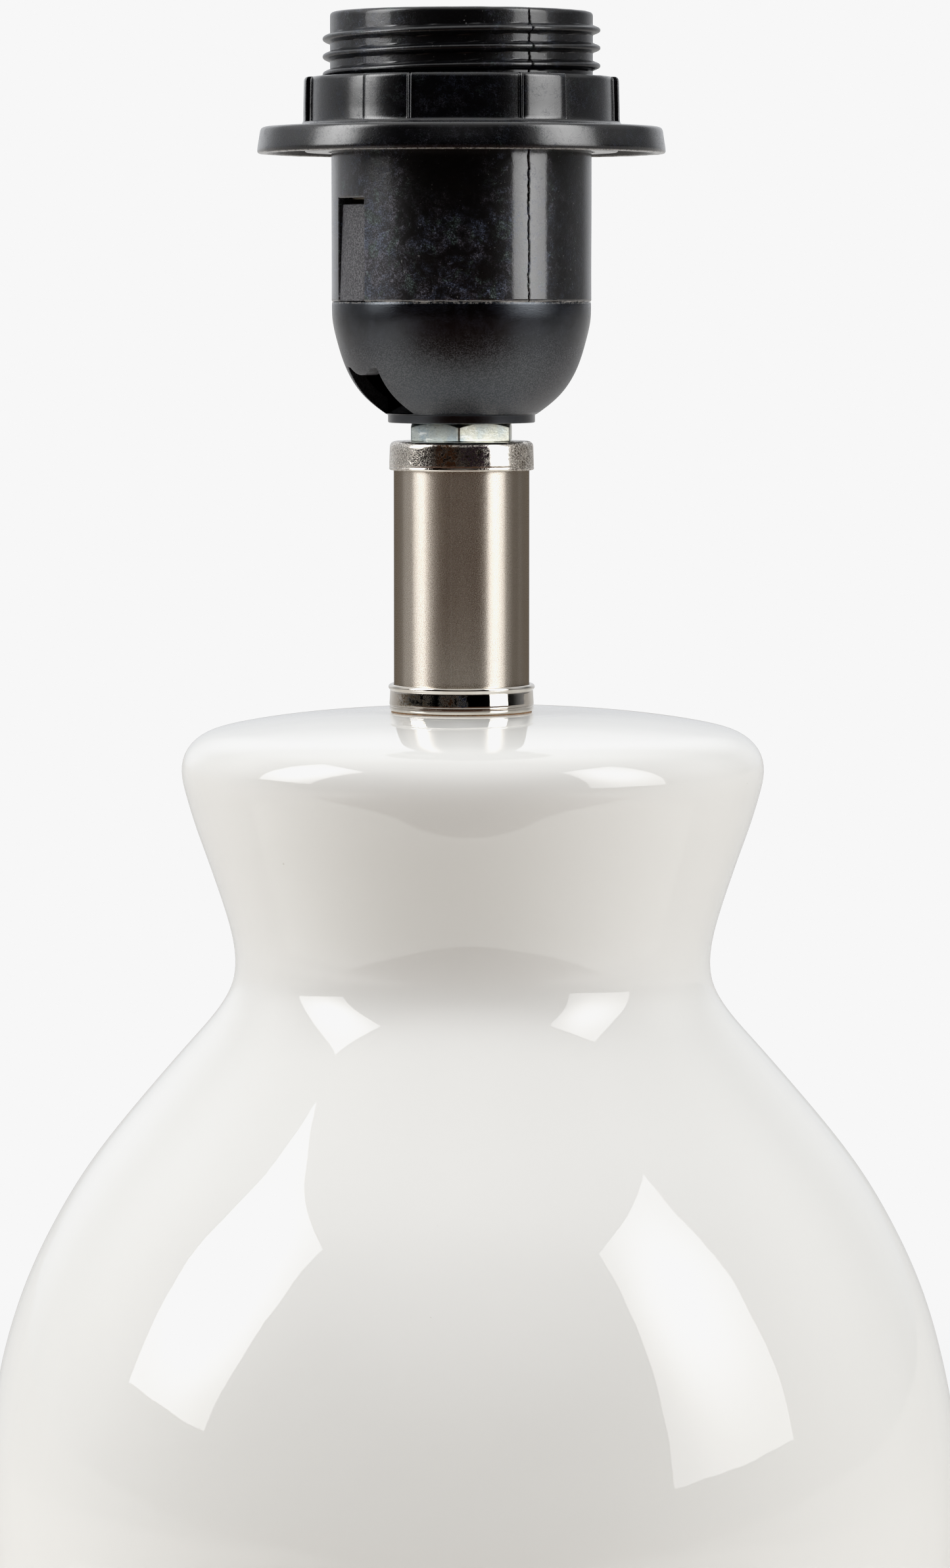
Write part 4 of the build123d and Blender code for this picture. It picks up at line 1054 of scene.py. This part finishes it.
# ------------------------------------------------------------------ neck metalwork
def neck():
    def dents(amount, seed):
        def bend(r, z, t):
            x, y = r * math.cos(t), r * math.sin(t)
            return r + amount * n3(x / 5, y / 5, z / 4, seed), z
        return bend

    lathe(
        "neck_tube_v",
        [(9.64, 212.1), (9.64, 216.0)] + [(9.64, z) for z in np.linspace(220, 244, 7)] + [(9.64, 248.7), (8.64, 248.7), (8.64, 212.1)],
        "root", NICKEL, ("neck_tube",), 256,
    )
    lower = (
        [(5.15, 211.12), (9.86, 211.12)]
        + arc(9.88, 211.50, 0.38, -90, 0, 7)[1:]
        + [(10.26, 211.72), (10.26, 211.84), (10.20, 211.90), (10.20, 211.98), (10.26, 212.04)]
        + [(10.275, 212.20), (10.262, 212.4), (10.185, 213.8), (10.172, 214.00), (10.16, 214.08), (10.19, 214.16)]
        + arc(10.00, 214.58, 0.42, -40, 122, 14)
        + [(9.7, 214.92), (9.64, 214.8), (9.64, 212.1), (5.15, 212.1)]
    )
    lathe("lower_ferrule_v", lower, "root", CHROME, ("lower_ferrule",), 256, bend=dents(0.012, 31.0))
    upper = (
        [(9.64, 245.5), (9.7, 245.42), (10.12, 245.40), (10.22, 245.46), (10.30, 245.58), (10.31, 245.68), (10.27, 245.80), (10.25, 245.9), (10.275, 246.05), (10.27, 246.2), (10.256, 246.6), (10.205, 248.2), (10.19, 248.6)]
        + arc(9.36, 248.67, 0.83, 2, 90, 14)[1:]
        + [(7.0, 249.5), (5.15, 249.5), (5.15, 248.7), (9.64, 248.7)]
    )
    lathe("upper_ferrule_v", upper, "root", CHROME_WORN, ("upper_ferrule",), 256, bend=dents(0.02, 37.0))


neck()


def nut(name, node, z0, z1, turn, mat):
    """Hexagon nut with turned chamfers and softened corners."""
    verts, faces = [], []
    cols = []
    for k in range(6):
        c = turn + 60 * k
        for d in (-2.2, -1.1, 0.0, 1.1, 2.2, 6, 12, 18, 24, 30, 36, 42, 48, 54):
            cols.append(c + d)
    nc = len(cols)

    def hexr(a):
        d = (a - turn + 30) % 60 - 30  # 0 at a corner
        flat = 7.0 / math.cos(rad(30 - abs(d)))
        return min(flat, 8.0)

    def ring(f, z):
        first = len(verts)
        for a in cols:
            r = f(a)
            th = rad(a - 90)
            verts.append((NX + r * math.cos(th), r * math.sin(th), z(a) if callable(z) else z))
        return first

    def cham(a):
        return max(0.0, hexr(a) - 7.12) * 0.62

    rings = [
        ring(lambda a: 4.95, z0), ring(lambda a: 6.9, z0), ring(lambda a: min(7.12, hexr(a)) - 0.02, z0),
        ring(lambda a: hexr(a) - 0.04, lambda a: z0 + cham(a) * 0.15 + 0.02), ring(hexr, lambda a: z0 + cham(a) * 0.15 + 0.08),
        ring(hexr, lambda a: z1 - cham(a) - 0.10), ring(lambda a: hexr(a) - 0.04, lambda a: z1 - cham(a) - 0.02),
        ring(lambda a: min(7.12, hexr(a)), z1), ring(lambda a: 6.9, z1), ring(lambda a: 4.95, z1),
    ]
    for i in range(len(rings)):
        a, b = rings[i], rings[(i + 1) % len(rings)]
        for j in range(nc):
            m = (j + 1) % nc
            faces.append((a + j, a + m, b + m, b + j))
    return link(name, verts, faces, "root", mat, (node,), 24.0)


nut("holder_lock_nut_v", "holder_lock_nut", 249.5, 252.1, -2.4, ZINC)


# ------------------------------------------------------------------ screw contact
def screw_shell():
    p, lo, hi = 3.629, 285.0, 299.4
    zs = np.linspace(lo, hi, 120)
    nc = 180
    verts = []
    for sign, thick in ((1, 0.0), (-1, 0.35)):
        for z in zs if sign == 1 else zs[::-1]:
            for j in range(nc):
                t = 2 * math.pi * j / nc
                ends = smooth(lo, lo + 1.2, z) * smooth(hi, hi - 1.0, z)
                w = 0.5 - 0.5 * math.cos(2 * math.pi * ((z - lo) / p - t / (2 * math.pi)))
                r_in = 12.18 + 1.10 * w * ends + 1.10 * (1 - smooth(hi, hi - 1.0, z))
                r = r_in + thick
                verts.append((NX + r * math.cos(t), r * math.sin(t), z))
    # outside up, inside down, so flip the order of the two skins
    n = len(zs)
    skin_in, skin_out = verts[: n * nc], verts[n * nc :]
    ordered = []
    for i in range(n):
        ordered += skin_out[(n - 1 - i) * nc : (n - i) * nc]
    for i in range(n):
        ordered += skin_in[(n - 1 - i) * nc : (n - i) * nc]
    return link("lamp_thread_shell_v", ordered, ring_faces(2 * n, nc), "root", SCREW_SHELL, ("lamp_thread_shell",), 50.0)


screw_shell()

# ------------------------------------------------------------------ other pieces
beveled("contact_insert", 0.15, "root", INSERT)
beveled("centre_contact", 0.08, "centre_contact_body", BRONZE)
beveled("live_terminal", 0.12, "root", BRASS)
beveled("neutral_terminal", 0.12, "root", BRASS)
beveled("terminal_screws", 0.12, "root", STEEL)
beveled("rod_grub_screw", 0.10, "root", STEEL)
beveled("inner_lock_nut", 0.2, "root", ZINC)
beveled("cord_grommet", 0.15, "root", WHITE_PLASTIC)

for node, mat in (
    ("neck_rod", STEEL), ("inner_rubber_washer", RUBBER), ("inner_steel_washer", STEEL),
    ("rod_end_bush", WHITE_PLASTIC), ("neck_gasket", FIBRE),
):
    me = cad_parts[node].data
    me.materials.clear()
    me.materials.append(mat)


def felt():
    prof = [(36.4, 1.95), (36.45, 0.4), (36.7, 0.05), (37.2, 0.0), (40.3, 0.0), (40.8, 0.08), (41.0, 0.45), (41.0, 1.95)]

    def bend(r, z, t):
        x, y = r * math.cos(t), r * math.sin(t)
        w = 0.10 * n3(x / 1.3, y / 1.3, z / 1.3, 41.0)
        if z < 0.02:
            return r, 0.0
        return (r - abs(w) if r > 38 else r + abs(w)), z

    return lathe("foot_felt_ring_v", prof, "root", FELT, ("foot_felt_ring",), 360, 0.0, 60.0, bend)


felt()


# ------------------------------------------------------------------ stage
COOL, PLAIN = (0.975, 0.99, 1.02), (1.0, 0.995, 0.985)


def direction(az, el):
    """Unit vector of an azimuth from the front, right positive, and an elevation."""
    a, e = rad(az), rad(el)
    return Vector((math.sin(a) * math.cos(e), -math.cos(a) * math.cos(e), math.sin(e)))


def stage():
    n = Nodes("floor_pale")
    x, y, z = n.xyz()
    r = n.math("SQRT", n.math("ADD", n.math("MULTIPLY", x, x), n.math("MULTIPLY", y, y)))
    n.set(Base_Color=(0.80, 0.80, 0.80), Roughness=0.65, Specular_IOR_Level=0.2)
    far = n.remap(r, 0.32, 0.85)
    em = n.node("ShaderNodeEmission", 0, Color=(1.02, 1.02, 1.02), Strength=1.0)
    seen = n.nt.nodes.new("ShaderNodeMixShader")
    n.put(seen.inputs[0], far)
    n.nt.links.new(n.bsdf.outputs[0], seen.inputs[1])
    n.nt.links.new(em, seen.inputs[2])
    # only light and reflections meet what lies beyond the table: a dim, warm
    # studio in front and a bright paper sweep behind
    # the lamp stands on a pale table with straight edges, and less light
    # comes back from the studio's floor beyond its sides
    side = n.math("ABSOLUTE", x)
    top = n.math("MULTIPLY", n.remap(side, 0.505, 0.500), n.remap(y, 0.092, 0.086))
    n_table = n.node("ShaderNodeBsdfDiffuse", 0, Color=n.mix(top, (0.59, 0.565, 0.54), (0.855, 0.83, 0.775)))
    room = n.node("ShaderNodeBsdfDiffuse", 0, Color=n.mix(
        n.math("MULTIPLY", n.remap(side, 0.36, 0.74), n.remap(y, -1.25, -0.85)), (0.120, 0.074, 0.056), (0.60, 0.56, 0.53)
    ))
    lit = n.nt.nodes.new("ShaderNodeMixShader")
    n.put(lit.inputs[0], n.remap(y, -0.279, -0.274))
    n.nt.links.new(room, lit.inputs[1])
    n.nt.links.new(n_table, lit.inputs[2])
    sweep = n.node("ShaderNodeEmission", 0, Color=(1.0, 0.99, 0.98), Strength=0.60)
    back = n.nt.nodes.new("ShaderNodeMixShader")
    behind = n.remap(n.math("DIVIDE", y, n.math("MAXIMUM", r, 0.01)), 0.62, 0.93)
    n.put(back.inputs[0], n.math("MULTIPLY", behind, n.remap(y, 0.30, 0.80)))
    n.nt.links.new(lit.outputs[0], back.inputs[1])
    n.nt.links.new(sweep, back.inputs[2])
    lit = back
    path = n.nt.nodes.new("ShaderNodeLightPath")
    mixer = n.nt.nodes.new("ShaderNodeMixShader")
    n.put(mixer.inputs[0], path.outputs["Is Camera Ray"])
    n.nt.links.new(lit.outputs[0], mixer.inputs[1])
    n.nt.links.new(seen.outputs[0], mixer.inputs[2])
    n.nt.links.new(mixer.outputs[0], n.out.inputs["Surface"])
    bpy.ops.mesh.primitive_circle_add(vertices=128, radius=30.0, fill_type="NGON", location=(0, 0, -0.0002))
    floor = bpy.context.object
    floor.name = "floor"
    floor.data.materials.append(n.mat)

    world = bpy.data.worlds.new("studio")
    bpy.context.scene.world = world
    world.use_nodes = True
    nt = world.node_tree
    nt.nodes.clear()
    out = nt.nodes.new("ShaderNodeOutputWorld")
    tc = nt.nodes.new("ShaderNodeTexCoord")

    # Soft pools of light from the studio's walls and ceiling: (azimuth from the
    # front, elevation, width, strength).  The camera's side stays dim.
    total = None
    for az, el, width, strength, tint in (
        (180, 8, 48, 0.70, COOL), (-128, 18, 42, 0.46, COOL), (128, 18, 42, 0.21, COOL), (180, 55, 45, 0.76, COOL),
        (0, 52, 40, 0.47, PLAIN), (-92, 40, 42, 0.62, PLAIN), (92, 40, 42, 0.42, PLAIN), (0, 90, 50, 0.71, PLAIN),
    ):
        dot = nt.nodes.new("ShaderNodeVectorMath")
        dot.operation = "DOT_PRODUCT"
        nt.links.new(tc.outputs["Generated"], dot.inputs[0])
        dot.inputs[1].default_value = direction(az, el)
        fall = nt.nodes.new("ShaderNodeMapRange")
        fall.interpolation_type = "SMOOTHSTEP"
        nt.links.new(dot.outputs["Value"], fall.inputs[0])
        for i, v in enumerate((math.cos(rad(width)), 1.0, 0.0, strength)):
            fall.inputs[i + 1].default_value = v
        pool = nt.nodes.new("ShaderNodeVectorMath")
        pool.operation = "SCALE"
        pool.inputs[0].default_value = tint
        nt.links.new(fall.outputs[0], pool.inputs["Scale"])
        if total is None:
            total = pool.outputs[0]
        else:
            add = nt.nodes.new("ShaderNodeVectorMath")
            add.operation = "ADD"
            nt.links.new(total, add.inputs[0])
            nt.links.new(pool.outputs[0], add.inputs[1])
            total = add.outputs[0]
    room = nt.nodes.new("ShaderNodeBackground")
    nt.links.new(total, room.inputs["Color"])
    room.inputs["Strength"].default_value = 1.0
    seen = nt.nodes.new("ShaderNodeBackground")
    seen.inputs["Color"].default_value = (1.02, 1.02, 1.02, 1.0)
    lp = nt.nodes.new("ShaderNodeLightPath")
    mix = nt.nodes.new("ShaderNodeMixShader")
    nt.links.new(lp.outputs["Is Camera Ray"], mix.inputs[0])
    nt.links.new(room.outputs[0], mix.inputs[1])
    nt.links.new(seen.outputs[0], mix.inputs[2])
    nt.links.new(mix.outputs[0], out.inputs["Surface"])


def softbox(name, centre, turn, tilt, width, height, core, rim, peak=(0.5, 0.5)):
    """A cloth-fronted lamp: turn is where its front edge points, tilt how far its top leans in."""
    t, k = rad(turn), rad(tilt)
    across = Vector((math.cos(t), math.sin(t), 0.0))
    lean = Vector((-across.y, across.x, 0.0))
    up = Vector((0.0, 0.0, 1.0)) * math.cos(k) + lean * math.sin(k)
    out = across.cross(up)
    if out.dot(Vector(centre)) > 0:
        out = -out
    back = -out
    right = up.cross(back)
    data = bpy.data.lights.new(name, "AREA")
    data.shape = "RECTANGLE"
    data.size, data.size_y = width, height
    data.energy = math.pi * width * height
    ob = bpy.data.objects.new(name, data)
    bpy.context.scene.collection.objects.link(ob)
    ob.location = centre
    ob.rotation_mode = "QUATERNION"
    ob.rotation_quaternion = Matrix((right, up, back)).transposed().to_quaternion()
    ob.visible_camera = False
    # the lamp behind the cloth makes its middle brighter than its edges
    data.use_nodes = True
    nt = data.node_tree
    em = nt.nodes["Emission"]
    geo = nt.nodes.new("ShaderNodeNewGeometry")
    away = nt.nodes.new("ShaderNodeVectorMath")
    away.operation = "DISTANCE"
    nt.links.new(geo.outputs["Parametric"], away.inputs[0])
    away.inputs[1].default_value = (peak[0], peak[1], 0.0)
    glow = nt.nodes.new("ShaderNodeMapRange")
    glow.interpolation_type = "SMOOTHSTEP"
    nt.links.new(away.outputs["Value"], glow.inputs[0])
    for i, v in enumerate((0.05, 0.66, core, rim)):
        glow.inputs[i + 1].default_value = v
    nt.links.new(glow.outputs[0], em.inputs["Strength"])
    return ob


stage()
softbox("softbox_right", (0.8761, -0.4861, 0.8104), -102.05, -4.3, 0.642, 1.167, 6.4, 2.5)
softbox("softbox_left", (-0.897, -0.2613, 0.7268), -93.14, 28.0, 0.546, 0.867, 7.2, 3.2)

scene = bpy.context.scene
view = scene.view_settings
view.view_transform = "Standard"
view.look = "None"
# the photograph's tone: deep blacks, and white paper that stops short of pure white
view.use_curve_mapping = True
tone = view.curve_mapping
tone.extend = "HORIZONTAL"
curve = tone.curves[3]
for x, y in ((0.012, 0.0055), (0.045, 0.0345), (0.13, 0.122), (0.32, 0.32), (0.80, 0.80), (0.93, 0.905)):
    curve.points.new(x, y)
curve.points[-1].location = (1.0, 0.93)
tone.update()

cam_data = bpy.data.cameras.new("camera")
cam_data.sensor_width = 36.0
cam_data.lens = 135.18
cam_data.clip_start, cam_data.clip_end = 0.05, 100.0
cam = bpy.data.objects.new("camera", cam_data)
scene.collection.objects.link(cam)
cam.location = (0.00033, -0.837, 0.27003)
pitch = rad(4.7406)
cam.rotation_mode = "QUATERNION"
cam.rotation_quaternion = Vector((0, math.cos(pitch), -math.sin(pitch))).to_track_quat("-Z", "Y")
scene.camera = cam
